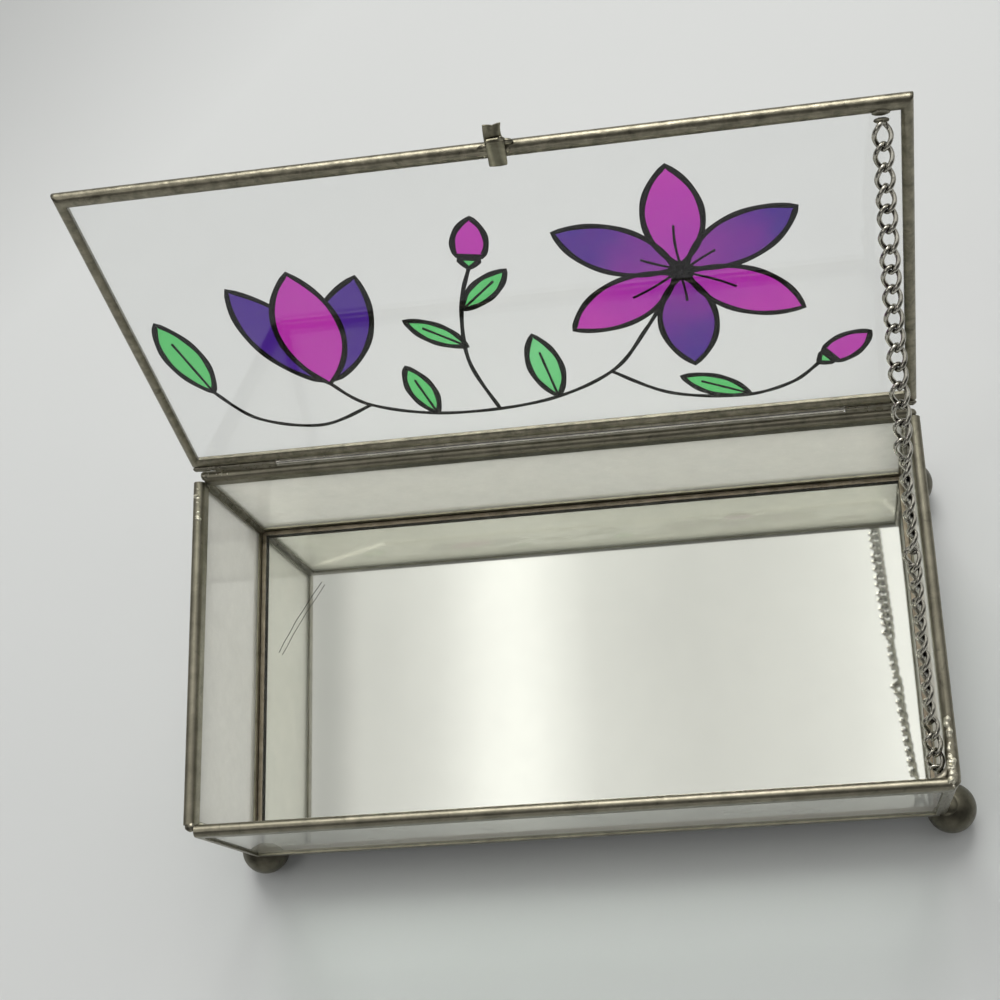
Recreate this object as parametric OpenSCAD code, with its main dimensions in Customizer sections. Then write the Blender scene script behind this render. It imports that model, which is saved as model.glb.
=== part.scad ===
// Glass casket box: leaded glass walls, a mirror floor, ball feet and a glass lid
// that turns on a rod hinge and is held open by a stay chain. Sizes are in mm.
// x runs right, y runs back and z runs up. The feet stand on z = 0, and the lid is drawn
// open, at the chain's stop.

/* [Box] */
// inside width between the side walls
inner_w = 178; // [150:1:230]
// inside depth between the front and back walls
inner_d = 87; // [76:1:120]
// height of the wall panels
wall_h = 48.6; // [40:0.2:70]

/* [Came and glass] */
// thickness of the came, and the width of its half-round back
came_t = 3; // [2.8:0.1:3.6]
// depth of the wall came, from the round back to the flange edge
wall_face = 4.2; // [3.6:0.1:6]
// depth of the lid came, from the round back to the flange edge
lid_face = 3.9; // [3.5:0.1:6]
// solid metal between the round back and the slot
came_web = 1; // [0.8:0.1:1.4]
// width of the plain channel up the side of a wall
post_face = 1.1; // [1:0.1:3]
// solid metal at the back of that channel
post_web = 0.4; // [0.3:0.05:0.5]
// thickness of the panes
glass_t = 2; // [1.6:0.1:2.1]
// gap between pane and came on each side
glass_gap = 0.05; // [0.03:0.01:0.1]
// gap between the pane edge and the web
edge_gap = 0.1; // [0.05:0.05:0.4]
// width of the mitre seam line
seam_w = 0.15; // [0.1:0.05:0.3]
// depth of the mitre seam line
seam_deep = 0.12; // [0.05:0.01:0.2]

/* [Floor] */
// thickness of the mirror glass
mirror_t = 2; // [1.8:0.1:2.6]
// height of the mirror face above the lower edge of the walls
mirror_rise = 2.1; // [2:0.1:2.6]
// thickness of the silver coat
silver_t = 0.1; // [0.05:0.01:0.12]
// thickness of the backing paint
paint_t = 0.1; // [0.05:0.01:0.12]
// thickness of the metal strip round the mirror
strip_t = 0.2; // [0.15:0.01:0.25]
// width of the strip's lips over the mirror
strip_lip = 0.8; // [0.5:0.1:1.5]
// gap between the strip and the walls
floor_gap = 0.15; // [0.1:0.05:0.3]
// radius of the solder runs under the floor joint
run_r = 0.75; // [0.5:0.05:1]
// distance from the run ends to the corners
run_inset = 14; // [8:1:24]

/* [Corners and feet] */
// radius of the corner solder seam
corner_r = 1.9; // [1.6:0.1:2.3]
// distance of the seam centre from the inner corner
corner_off = 0.6; // [0.4:0.1:1]
// diameter of the ball feet
ball_d = 12.7; // [9:0.1:16]
// depth of the dressed flat below a ball
ball_flat = 0.12; // [0.05:0.01:0.4]
// distance of a ball centre outside the inner corner, in x
ball_out_x = 1.9; // [1.2:0.1:2.6]
// distance of a ball centre outside the inner corner, in y
ball_out_y = 0.2; // [0:0.1:1]
// sideways shift of the two front balls, as they were soldered
ball_shift = 1.65; // [0:0.05:1.8]
// gap between ball and frame, filled by solder
ball_gap = 0.05; // [0.02:0.01:0.2]
// radius of the solder collar on a ball
collar_r = 3; // [2.4:0.1:3.6]
// depth of the solder collar below the frame
collar_deep = 1.1; // [0.8:0.1:1.5]

/* [Hinge] */
// diameter of the hinge rod
rod_d = 1; // [0.8:0.1:1.1]
// outside diameter of the hinge tube
tube_d = 1.6; // [1.5:0.1:2]
// running gap between rod and tube, on the radius
rod_fit = 0.05; // [0.03:0.01:0.1]
// height of the hinge line above the rails
hinge_rise = 1; // [0.9:0.1:1.4]
// length of the hinge tube
tube_len = 143; // [90:1:145]
// distance of the tube's middle from the middle of the box
tube_shift = 2.5; // [-4:0.5:4]
// distance from the rod ends to the inner side walls
rod_inset = 3.5; // [2:0.5:6]
// end play between the tube and the rod solder
tube_play = 0.3; // [0.2:0.05:1]
// thickness of solder on the rod
rod_coat = 0.1; // [0.05:0.01:0.2]
// width of the solder web between rod and rail
rod_web = 0.6; // [0.4:0.1:0.7]
// width of the solder fillets between tube and lid
fillet_w = 1.3; // [1:0.1:1.4]

/* [Lid] */
// opening angle at the chain's stop
lid_open = 110.6; // [100:0.2:116]
// gap between the closed lid and the rails
lid_gap = 0.3; // [0.3:0.05:0.6]
// distance of the lid's side edges inside the box
lid_inset = 0.5; // [0.3:0.1:1.5]
// distance of the lid's front edge in front of the box
lid_lip = 0.05; // [0:0.05:0.5]

/* [Lift tab] */
// width of the tab
tab_w = 4.1; // [3:0.1:6]
// thickness of the tab's sheet
tab_t = 0.5; // [0.4:0.05:0.55]
// reach of the tab's leg under the lid rail
tab_leg = 5; // [4.6:0.1:8]
// distance of the fold in front of the lid's edge
tab_fold = 0.3; // [0.2:0.05:0.6]
// reach of the tab's lip in front of the lid
tab_lip = 4.7; // [3:0.1:7]
// upward bend of the lip
tab_bend = 25; // [10:1:35]
// distance of the tab from the middle of the lid
tab_x = 5.4; // [-20:0.1:20]
// radius of the lip's hollow
trough_r = 3.5; // [3:0.1:6]

/* [Stay chain] */
// wire diameter of the links
link_wire = 0.95; // [0.8:0.05:1]
// outside width of a link
link_w = 4.2; // [4:0.1:4.6]
// wished distance between links
link_step = 3.9; // [3.7:0.1:4.4]
// play between two links
link_play = 0.2; // [0.16:0.01:0.3]
// twist from the middle of a link to its end
link_twist = 45; // [35:1:50]
// drop of the chain at its middle
chain_sag = 1.5; // [0:0.1:4]
// sideways bow of the chain at its middle
chain_bow = 1; // [0:0.1:2]
// wire diameter of the hook
hook_wire = 1.1; // [0.9:0.05:1.2]
// half the width of the hook, to the middle of its wire
hook_reach = 1.2; // [1.1:0.1:1.5]
// bend radius of the hook's wire
hook_bend = 0.8; // [0.7:0.1:1]
// length of the hook's shank
hook_shank = 2.6; // [2.2:0.1:2.8]
// tilt of the hook above the level
hook_tilt = 15; // [0:1:30]
// depth of the hook below the rails
hook_drop = 4.2; // [4:0.1:8]
// wire diameter of the ring on the lid
eye_wire = 0.9; // [0.8:0.05:1]
// radius of the ring on the lid, to the middle of its wire
eye_r = 1.3; // [1.2:0.05:1.4]
// radius of the solder blob that holds the ring
blob_r = 1.25; // [1.2:0.05:1.3]

/* [Picture] */
// width of the raised outlines
line_w = 1.2; // [0.8:0.1:1.6]
// width of the stems
stem_w = 0.9; // [0.6:0.1:1.4]
// height of the raised outlines
line_h = 0.35; // [0.2:0.05:0.5]
// thickness of the colour coats
coat_t = 0.08; // [0.05:0.01:0.15]
// petal length of the star flower
petal_len = 24; // [18:1:26]
// petal width of the star flower
petal_w = 11; // [8:0.5:12]
// height of the cup flower
cup_len = 32; // [24:1:34]
// length of the larger leaves
leaf_len = 21; // [14:1:24]
// width of the larger leaves
leaf_w = 6.5; // [4:0.5:8]

/* [Hidden] */
$fn = 64;
slot = glass_t + 2 * glass_gap;
hx = inner_w / 2;
hy = inner_d / 2;
half_t = came_t / 2;
ball_r = ball_d / 2;
ball_z = ball_r - ball_flat;
wall_z = ball_z + ball_r + ball_gap;
rail_z = wall_z + wall_h;
strip_side = 0.25;
pane_hx = hx - floor_gap - strip_side;
pane_hy = hy - floor_gap - strip_side;
mirror_top = wall_z + mirror_rise;
mirror_low = mirror_top - mirror_t;
coat_low = mirror_low - silver_t - paint_t;
hinge_y = hy + came_t;
hinge_z = rail_z + hinge_rise;
tube_r = tube_d / 2;
tube_x0 = tube_shift - tube_len / 2;
tube_x1 = tube_shift + tube_len / 2;
rod_hx = hx - rod_inset;
coat_r = rod_d / 2 + rod_coat;
bore_d = rod_d + 2 * rod_fit;
// the lid's middle plane lies this far above the hinge line when it is closed
lid_rise = half_t + lid_gap - hinge_rise;
// the lid's rear round back touches the tube at this distance along the lid
lid_back = sqrt(pow(tube_r + half_t, 2) - lid_rise * lid_rise);
lid_w = inner_w + 2 * came_t - 2 * lid_inset;
lid_front = 2 * hinge_y + lid_lip;
lid_d = lid_front - lid_back + half_t;
lid_low = lid_rise - half_t;
glass_top = lid_rise + glass_t / 2;
picture_y = (lid_front + lid_back - half_t) / 2;
// hook, ring and the line of the chain between them
hook_p = [hx - 2.2, -hy + 3.1, rail_z - hook_drop];
eye_lid = [hx - 4.1, -(lid_front - 6.3), lid_low - 1.55];
eye_p = lid_to_box(eye_lid);
chain_dir = unit(eye_p - hook_p);
chain_len = norm(eye_p - hook_p) - eye_r;
wire_sum = (hook_wire + eye_wire) / 2;
link_n = round((chain_len + wire_sum + link_play) / link_step);
pitch = (chain_len + wire_sum + link_play) / link_n;
link_a = (pitch + 2 * link_wire + link_play) / 2 - link_wire / 2;
link_b = (link_w - link_wire) / 2;
link_r = link_wire / 2;
first_at = link_a - link_r - hook_wire / 2 - link_play;
// six-sided links are drawn from rings of points round the wire
ring_n = 12;
side_n = 6;

// ---- vectors ----

function unit(v) = v / norm(v);

// a point of the closed lid, measured from the hinge line, as a point of the open box
function lid_to_box(p) = [
  p.x,
  hinge_y + p.y * cos(lid_open) + p.z * sin(lid_open),
  hinge_z - p.y * sin(lid_open) + p.z * cos(lid_open)
];

// ---- came and panes ----

// a plate of came thickness with half-round edges at y = 0 and y = h
module rounded_plate(w, h) {
  rotate([90, 0, 90]) linear_extrude(w) {
    translate([half_t, -half_t]) square([h - came_t, came_t]);
    translate([half_t, 0]) circle(d = came_t);
    translate([h - half_t, 0]) circle(d = came_t);
  }
}

// the fold's seam lines across the corner at the origin, on both faces
module corner_seam_lines(face) {
  rotate([0, 0, 45])
    for (z = [half_t - seam_deep, -half_t - 1])
      translate([half_t, -seam_w / 2, z]) cube([1.5 * face, seam_w, seam_deep + 1]);
}

// a closed ring of U came with a half-round back, folded from one strip: the lower
// left corner is at the origin, and the slot is open toward the middle
module came_ring(w, h, face) {
  difference() {
    intersection() {
      rounded_plate(w, h);
      translate([w, 0, 0]) rotate([0, 0, 90]) rounded_plate(h, w);
    }
    translate([face, face, -came_t]) cube([w - 2 * face, h - 2 * face, 2 * came_t]);
    translate([came_web, came_web, -slot / 2])
      cube([w - 2 * came_web, h - 2 * came_web, slot]);
    corner_seam_lines(face);
    translate([w, 0, 0]) rotate([0, 0, 90]) corner_seam_lines(face);
    translate([w, h, 0]) rotate([0, 0, 180]) corner_seam_lines(face);
    translate([0, h, 0]) rotate([0, 0, 270]) corner_seam_lines(face);
  }
}

// a wall's ring: half-round came along the top and the foot, and a narrow plain
// channel up each side, which ends flush against the next wall's corner
module wall_ring(w, h) {
  difference() {
    rounded_plate(w, h);
    translate([post_face, wall_face, -came_t])
      cube([w - 2 * post_face, h - 2 * wall_face, 2 * came_t]);
    translate([post_web, came_web, -slot / 2])
      cube([w - 2 * post_web, h - 2 * came_web, slot]);
    for (y = [wall_face, h - wall_face - seam_w])
      for (z = [half_t - seam_deep, -half_t - 1])
        translate([-1, y, z]) cube([w + 2, seam_w, seam_deep + 1]);
  }
}

module pane(w, h, web_x) {
  mx = web_x + edge_gap;
  my = came_web + edge_gap;
  translate([mx, my, -glass_t / 2]) cube([w - 2 * mx, h - 2 * my, glass_t]);
}

// ---- places ----

module at_front() {
  translate([-hx, -hy - half_t, wall_z]) rotate([90, 0, 0]) children();
}

module at_back() {
  translate([-hx, hy + half_t, wall_z]) rotate([90, 0, 0]) children();
}

module at_left() {
  translate([-hx - half_t, -hy, wall_z]) rotate([90, 0, 90]) children();
}

module at_right() {
  translate([hx + half_t, -hy, wall_z]) rotate([90, 0, 90]) children();
}

// things drawn for the back right corner, carried to another corner
module at_corner(left, front) {
  mirror([left, 0, 0]) mirror([0, front, 0]) children();
}

// things of the closed lid, measured from the hinge line, turned to the open stop
module on_lid() {
  translate([0, hinge_y, hinge_z]) rotate([-lid_open, 0, 0]) children();
}

// a drawing seen from inside the lid, y toward the front edge, on the outer face
module on_lid_glass(h) {
  on_lid() translate([0, -picture_y, glass_top])
    mirror([0, 1, 0]) linear_extrude(h) children();
}

// ---- walls ----

module front_came() {
  color([0.45, 0.43, 0.37]) at_front() wall_ring(inner_w, wall_h);
}

module back_came() {
  color([0.45, 0.43, 0.37]) at_back() wall_ring(inner_w, wall_h);
}

module left_came() {
  color([0.45, 0.43, 0.37]) at_left() wall_ring(inner_d, wall_h);
}

module right_came() {
  color([0.45, 0.43, 0.37]) at_right() wall_ring(inner_d, wall_h);
}

module front_glass() {
  color([0.85, 0.9, 0.87, 0.4]) at_front() pane(inner_w, wall_h, post_web);
}

module back_glass() {
  color([0.85, 0.9, 0.87, 0.4]) at_back() pane(inner_w, wall_h, post_web);
}

module left_glass() {
  color([0.85, 0.9, 0.87, 0.4]) at_left() pane(inner_d, wall_h, post_web);
}

module right_glass() {
  color([0.85, 0.9, 0.87, 0.4]) at_right() pane(inner_d, wall_h, post_web);
}

// ---- floor ----

// a flat plate the size of the mirror, grown by g, from z0 to z1
module floor_plate(g, z0, z1) {
  translate([-pane_hx - g, -pane_hy - g, z0])
    cube([2 * (pane_hx + g), 2 * (pane_hy + g), z1 - z0]);
}

module mirror_pane() {
  color([0.8, 0.85, 0.85]) floor_plate(0, mirror_low, mirror_top);
}

module mirror_silver() {
  color([0.9, 0.9, 0.9]) floor_plate(0, mirror_low - silver_t, mirror_low);
}

module mirror_paint() {
  color([0.3, 0.3, 0.32]) floor_plate(0, coat_low, mirror_low - silver_t);
}

// thin strip folded over the mirror's edge, with a lip above and one below
module mirror_edge_strip() {
  color([0.5, 0.46, 0.38]) difference() {
    floor_plate(strip_side, coat_low - strip_t, mirror_top + strip_t);
    floor_plate(0, coat_low, mirror_top);
    floor_plate(-strip_lip, coat_low - 1, mirror_top + 1);
  }
}

// solder run along one side of the floor joint; half_len is half the side's length
module floor_run(half_len, half_across) {
  len = 2 * (half_len - run_inset);
  translate([-len / 2, 0, 0]) rotate([90, 0, 90]) linear_extrude(len)
    difference() {
      translate([half_across + 0.15, wall_z - 0.15]) circle(r = run_r);
      translate([half_across + half_t, wall_z + half_t]) circle(r = half_t);
      translate([half_across, wall_z + half_t]) square([came_t, came_t]);
      translate([half_across - 3, coat_low - strip_t]) square([3 - floor_gap, came_t]);
    }
}

module floor_solder_front() {
  color([0.55, 0.53, 0.47]) mirror([0, 1, 0]) floor_run(hx, hy);
}

module floor_solder_back() {
  color([0.55, 0.53, 0.47]) floor_run(hx, hy);
}

module floor_solder_left() {
  color([0.55, 0.53, 0.47]) rotate([0, 0, 90]) floor_run(hy, hx);
}

module floor_solder_right() {
  color([0.55, 0.53, 0.47]) rotate([0, 0, -90]) floor_run(hy, hx);
}

// ---- corners and feet ----

// plan of the two wall posts that meet at the back right corner
module post_plans() {
  translate([hx - wall_face, hy]) square([wall_face, came_t]);
  translate([hx, hy - wall_face]) square([came_t, wall_face]);
}

// solder that fills the outer notch of a corner
module corner_seam() {
  color([0.55, 0.53, 0.47]) translate([0, 0, wall_z + 0.4]) linear_extrude(wall_h - 1)
    difference() {
      translate([hx + corner_off, hy + corner_off]) circle(r = corner_r);
      post_plans();
      translate([hx - 5, hy - 5]) square(5);
    }
}

module corner_seam_fl() {
  at_corner(1, 1) corner_seam();
}

module corner_seam_fr() {
  at_corner(0, 1) corner_seam();
}

module corner_seam_bl() {
  at_corner(1, 0) corner_seam();
}

module corner_seam_br() {
  at_corner(0, 0) corner_seam();
}

// a ball with a small dressed flat to stand on, filed where it meets the floor strip
module ball_foot(out_x) {
  color([0.4, 0.38, 0.33]) difference() {
    translate([hx + out_x, hy + ball_out_y, ball_z]) sphere(d = ball_d);
    translate([hx + out_x - ball_r, hy + ball_out_y - ball_r, -ball_d])
      cube([ball_d, ball_d, ball_d]);
    floor_plate(strip_side + 0.1, coat_low - strip_t - 0.1, mirror_top);
  }
}

// solder between a ball, the two lower rails and the floor strip
module foot_solder(out_x) {
  color([0.55, 0.53, 0.47]) difference() {
    translate([hx + out_x, hy + ball_out_y, wall_z - collar_deep])
      cylinder(r = collar_r, h = collar_deep + 0.4);
    translate([hx + out_x, hy + ball_out_y, ball_z]) sphere(d = ball_d);
    translate([-hx, hy + half_t, wall_z + half_t]) rotate([0, 90, 0])
      cylinder(d = came_t, h = inner_w);
    translate([hx + half_t, hy, wall_z + half_t]) rotate([90, 0, 0])
      cylinder(d = came_t, h = inner_d);
    floor_plate(strip_side, coat_low - strip_t, mirror_top);
  }
}

module ball_foot_fl() {
  at_corner(1, 1) ball_foot(ball_out_x - ball_shift);
}

module ball_foot_fr() {
  at_corner(0, 1) ball_foot(ball_out_x + ball_shift);
}

module ball_foot_bl() {
  at_corner(1, 0) ball_foot(ball_out_x);
}

module ball_foot_br() {
  at_corner(0, 0) ball_foot(ball_out_x);
}

module foot_solder_fl() {
  at_corner(1, 1) foot_solder(ball_out_x - ball_shift);
}

module foot_solder_fr() {
  at_corner(0, 1) foot_solder(ball_out_x + ball_shift);
}

module foot_solder_bl() {
  at_corner(1, 0) foot_solder(ball_out_x);
}

module foot_solder_br() {
  at_corner(0, 0) foot_solder(ball_out_x);
}

// ---- hinge ----

module hinge_rod() {
  color([0.5, 0.48, 0.42]) translate([-rod_hx, hinge_y, hinge_z]) rotate([0, 90, 0])
    cylinder(d = rod_d, h = 2 * rod_hx);
}

// solder coat on the rod with a web down to the back rail, from x0 to x1
module rod_solder(x0, x1) {
  lean = atan2(half_t, hinge_rise + half_t);
  color([0.55, 0.53, 0.47]) translate([x0, hinge_y, hinge_z])
    rotate([90, 0, 90]) linear_extrude(x1 - x0)
      difference() {
        union() {
          circle(r = coat_r);
          rotate(-lean) translate([-rod_web / 2, -2]) square([rod_web, 2]);
        }
        circle(d = rod_d);
        translate([-half_t, -hinge_rise - half_t]) circle(d = came_t);
      }
}

module rod_solder_left() {
  rod_solder(-rod_hx, tube_x0 - tube_play);
}

module rod_solder_right() {
  rod_solder(tube_x1 + tube_play, rod_hx);
}

module hinge_tube() {
  color([0.5, 0.48, 0.42]) on_lid() translate([tube_x0, 0, 0]) rotate([0, 90, 0])
    difference() {
      cylinder(d = tube_d, h = tube_len);
      translate([0, 0, -1]) cylinder(d = bore_d, h = tube_len + 2);
    }
}

// solder fillets on both sides of the line where tube and lid ring touch
module tube_solder() {
  lift = atan2(lid_rise, lid_back);
  color([0.55, 0.53, 0.47]) on_lid() translate([tube_x0 + 1, 0, 0])
    rotate([90, 0, 90]) linear_extrude(tube_len - 2)
      rotate(180 - lift) difference() {
        translate([tube_r - 0.35, -fillet_w / 2]) square([0.7, fillet_w]);
        circle(r = tube_r, $fn = 360);
        translate([tube_r + half_t, 0]) circle(r = half_t, $fn = 360);
      }
}

// ---- lid ----

module lid_came() {
  color([0.45, 0.43, 0.37]) on_lid()
    translate([-lid_w / 2, -lid_front, lid_rise]) came_ring(lid_w, lid_d, lid_face);
}

module lid_glass() {
  color([0.85, 0.9, 0.87, 0.4]) on_lid()
    translate([-lid_w / 2, -lid_front, lid_rise]) pane(lid_w, lid_d, came_web);
}

// ---- lift tab ----

// plan of the leg, from the fold in front of the lid's edge to its hollow end
module leg_plan() {
  difference() {
    polygon([
      [-tab_w / 2, -tab_fold], [tab_w / 2, -tab_fold], [tab_w / 2, tab_leg - 2],
      [tab_w / 2 + 0.2, tab_leg], [-tab_w / 2 - 0.2, tab_leg], [-tab_w / 2, tab_leg - 2]
    ]);
    translate([0, tab_leg + 3.6]) circle(r = 4);
  }
}

// section of the lip: a shallow trough, hollow toward the inside of the lid
module lip_section() {
  intersection() {
    translate([0, -trough_r]) difference() {
      circle(r = trough_r);
      circle(r = trough_r - tab_t);
    }
    translate([-tab_w / 2, -2]) square([tab_w, 3]);
  }
}

// shallow notch at the lip's end
module lip_notch(len) {
  translate([0, -len, -3]) linear_extrude(4) polygon([[-1.5, -0.1], [1.5, -0.1], [0, 0.7]]);
}

// sheet tab: a flat leg under the lid rail and a hollowed lip that bends up in front
module lift_tab() {
  leg_top = lid_low - glass_gap;
  lip_len = (tab_lip - tab_fold) / cos(tab_bend) + 0.02;
  color([0.5, 0.48, 0.42]) on_lid() translate([tab_x, -lid_front, leg_top]) {
    translate([0, 0, -tab_t]) linear_extrude(tab_t) leg_plan();
    translate([0, 0.02 - tab_fold, 0]) rotate([-tab_bend, 0, 0]) difference() {
      rotate([90, 0, 0]) linear_extrude(lip_len) lip_section();
      lip_notch(lip_len);
    }
  }
}

// solder under the rail, between it and the leg, with a bead on each side
module tab_solder() {
  leg_top = lid_low - glass_gap;
  color([0.55, 0.53, 0.47]) on_lid() translate([tab_x, -lid_front, leg_top]) {
    translate([-tab_w / 2, half_t, 0]) cube([tab_w, lid_face - half_t - 0.1, glass_gap]);
    for (s = [-1, 1])
      difference() {
        translate([s * (tab_w / 2 + 0.1), half_t, -0.1]) rotate([-90, 0, 0])
          cylinder(r = 0.6, h = lid_face - half_t - 0.1);
        translate([0, 0, -2]) linear_extrude(4) leg_plan();
        translate([-4, 0, glass_gap]) cube([8, 8, 2]);
      }
  }
}

// ---- stay chain ----

// things drawn flat round the place where the chain hangs, tilted to the hook's plane
module at_hook() {
  translate(hook_p) rotate([hook_tilt, 0, 0]) children();
}

module hook_bend_piece() {
  rotate_extrude(angle = 90) translate([hook_bend, 0]) circle(d = hook_wire);
}

// a wire that comes from the corner, turns left across the chain and turns back
module chain_hook() {
  color([0.5, 0.48, 0.42]) at_hook() {
    translate([hook_reach, -hook_shank, 0]) rotate([-90, 0, 0])
      cylinder(d = hook_wire, h = hook_shank - hook_bend);
    translate([hook_reach - hook_bend, -hook_bend, 0]) hook_bend_piece();
    translate([hook_bend - hook_reach, 0, 0]) rotate([0, 90, 0])
      cylinder(d = hook_wire, h = 2 * (hook_reach - hook_bend));
    translate([hook_bend - hook_reach, -hook_bend, 0]) rotate([0, 0, 90]) hook_bend_piece();
  }
}

// short sleeve of solder round the hook's shank, against both walls
module hook_solder() {
  color([0.55, 0.53, 0.47]) intersection() {
    at_hook() translate([hook_reach, -hook_shank - 1, 0]) rotate([-90, 0, 0])
      difference() {
        cylinder(r = 1.15, h = 2);
        translate([0, 0, 1]) cylinder(d = hook_wire, h = 2);
      }
    translate([hx - 5, -hy, rail_z - 20]) cube([5, 5, 30]);
  }
}

// two directions across the chain: one free of x, the other about along x
side_1 = unit(cross([1, 0, 0], chain_dir));
side_2 = cross(chain_dir, side_1);
roll_0 = link_twist;
roll_1 = 90;

function across(t) = side_1 * cos(t) + side_2 * sin(t);

// middle of the chain's line at distance s from the hook
function chain_at(s) =
  let (t = s / chain_len)
  hook_p + chain_dir * s - [chain_bow, 0, chain_sag] * 4 * t * (1 - t);

function link_mid(i) = chain_at(first_at + i * pitch);
function link_dir(i) = unit(chain_at(first_at + i * pitch + 0.5) - chain_at(first_at + i * pitch - 0.5));
function link_roll(i) = roll_0 + (roll_1 - roll_0) * i / (link_n - 1);

// the middle line of link i at angle f round its oval
function link_line(i, f) =
  link_mid(i) + link_dir(i) * link_a * cos(f)
  + across(link_roll(i) + link_twist * cos(f)) * link_b * sin(f);

function link_out(i, f) =
  unit(link_dir(i) * link_b * cos(f)
       + across(link_roll(i) + link_twist * cos(f)) * link_a * sin(f));

function link_skin(i, f, g) =
  let (tan_v = unit(link_line(i, f + 1) - link_line(i, f - 1)))
  let (up = unit(cross(tan_v, link_out(i, f))))
  let (out = cross(up, tan_v))
  link_line(i, f) + (out * cos(g) + up * sin(g)) * link_r;

module chain_link(i) {
  points = [
    for (j = [0 : ring_n - 1])
      for (k = [0 : side_n - 1])
        link_skin(i, j * 360 / ring_n, k * 360 / side_n)
  ];
  faces = [
    for (j = [0 : ring_n - 1])
      for (k = [0 : side_n - 1])
        let (j2 = (j + 1) % ring_n, k2 = (k + 1) % side_n)
        each [
          [j * side_n + k, j2 * side_n + k, j2 * side_n + k2],
          [j * side_n + k, j2 * side_n + k2, j * side_n + k2]
        ]
  ];
  polyhedron(points = points, faces = faces);
}

// twisted oval links from the hook to the ring on the lid
module stay_chain() {
  color([0.5, 0.48, 0.42])
    for (i = [0 : link_n - 1])
      chain_link(i);
}

// turn a drawing so that its z runs along v
module along(v) {
  rotate([0, acos(v.z / norm(v)), atan2(v.y, v.x)]) children();
}

module eye_ring() {
  translate(eye_p) along(cross(chain_dir, across(roll_1 + link_twist + 90)))
    rotate_extrude() translate([eye_r, 0]) circle(d = eye_wire);
}

// small wire ring on the lid that the last link passes through
module chain_eye() {
  color([0.5, 0.48, 0.42]) eye_ring();
}

module chain_top_solder() {
  color([0.55, 0.53, 0.47]) difference() {
    on_lid() intersection() {
      translate([eye_lid.x, eye_lid.y - 1.7, lid_low - 0.6]) sphere(r = blob_r);
      translate([eye_lid.x - 5, eye_lid.y - 6, lid_low - 5]) cube([10, 10, 5]);
    }
    eye_ring();
  }
}

// ---- picture on the lid ----

// pointed oval along x, grown by g
module lens(len, wid, g) {
  r = (len * len + wid * wid) / (4 * wid);
  intersection() {
    translate([0, r - wid / 2]) circle(r = r + g, $fn = 180);
    translate([0, wid / 2 - r]) circle(r = r + g, $fn = 180);
  }
}

// ring piece of radius r from angle a0 to a1, less than half a turn
module arc_line(r, w, a0, a1) {
  m = (a0 + a1) / 2;
  intersection() {
    difference() {
      circle(r = r + w / 2, $fn = 180);
      circle(r = r - w / 2, $fn = 180);
    }
    polygon([
      [0, 0], [2 * r * cos(a0), 2 * r * sin(a0)],
      [3 * r * cos(m), 3 * r * sin(m)], [2 * r * cos(a1), 2 * r * sin(a1)]
    ]);
  }
}

// the drawing's unit follows the lid's size
u = min(lid_w / 183, lid_d / 92.4);
star_at = [44, 6] * u;
cup_at = [-50, -15] * u;
hub_r = 2.6 * u;
swag_at = [-2, 92] * u;
swag_r = 121 * u;
bud_len = 15 * u;
bud_w = 7.5 * u;
bud_back = 9.5 * u;
bud_cup_r = 6 * u;
bud_line = 0.8 * u;
// leaves: x, y, turn and share of the full leaf size
leaves = [
  [-17, -20.5, 68, 1], [4, -20.8, 112, 0.85], [18, -21.6, 62, 0.8],
  [-73, -4, 118, 0.9], [-28, -35.4, -14, 0.62]
];
// buds: x, y and turn
buds = [[-8, 20, 75], [76, -22, 20]];

module star_petal(i, g) {
  translate(star_at) rotate(30 + 60 * i) translate([hub_r + petal_len / 2 - 1, 0])
    lens(petal_len, petal_w, g);
}

// the cup's middle petal, and its side petals on side s
module cup_middle(g) {
  translate(cup_at) rotate(90) translate([cup_len / 2, 0]) lens(cup_len, cup_len * 0.42, g);
}

module cup_side(s, g) {
  difference() {
    translate(cup_at) rotate(90 + s * 24) translate([cup_len / 2, 0])
      lens(cup_len, cup_len * 0.36, g);
    cup_middle(line_w / 2);
  }
}

module one_leaf(i, g) {
  t = leaves[i];
  translate([t[0], t[1]] * u) rotate(t[2]) lens(leaf_len * t[3], leaf_w * t[3], g);
}

module leaf_rib(i) {
  t = leaves[i];
  translate([t[0], t[1]] * u) rotate(t[2])
    translate([-leaf_len * t[3] / 2, -0.3]) square([leaf_len * t[3] * 0.72, 0.6]);
}

module bud(i, g) {
  t = buds[i];
  translate([t[0], t[1]] * u) rotate(t[2]) lens(bud_len, bud_w, g);
}

module bud_cup(i) {
  t = buds[i];
  translate([t[0], t[1]] * u) rotate(t[2]) translate([-bud_back, 0]) circle(r = bud_cup_r, $fn = 90);
}

// everything that is filled with colour, to keep the lines out of it
module filled_shapes() {
  for (i = [0 : 5])
    star_petal(i, -line_w / 2);
  cup_middle(-line_w / 2);
  for (s = [-1, 1])
    cup_side(s, -line_w / 2);
  for (i = [0 : len(leaves) - 1])
    one_leaf(i, -line_w / 2);
  for (i = [0 : len(buds) - 1])
    bud(i, -line_w / 2);
}

module stems() {
  translate(swag_at) arc_line(swag_r, stem_w, 245, 298);
  // stem of the star flower
  translate([70, -30] * u) arc_line(34.5 * u, stem_w, 118, 178);
  // stem of the first bud
  translate([-44, -2] * u) arc_line(36 * u, stem_w, -43, 19);
  // stems of the left leaf and of the right bud
  translate([-50, -47] * u) arc_line(32 * u, stem_w, 90, 131);
  translate([84, -50] * u) arc_line(24 * u, stem_w, 98, 160);
}

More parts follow.
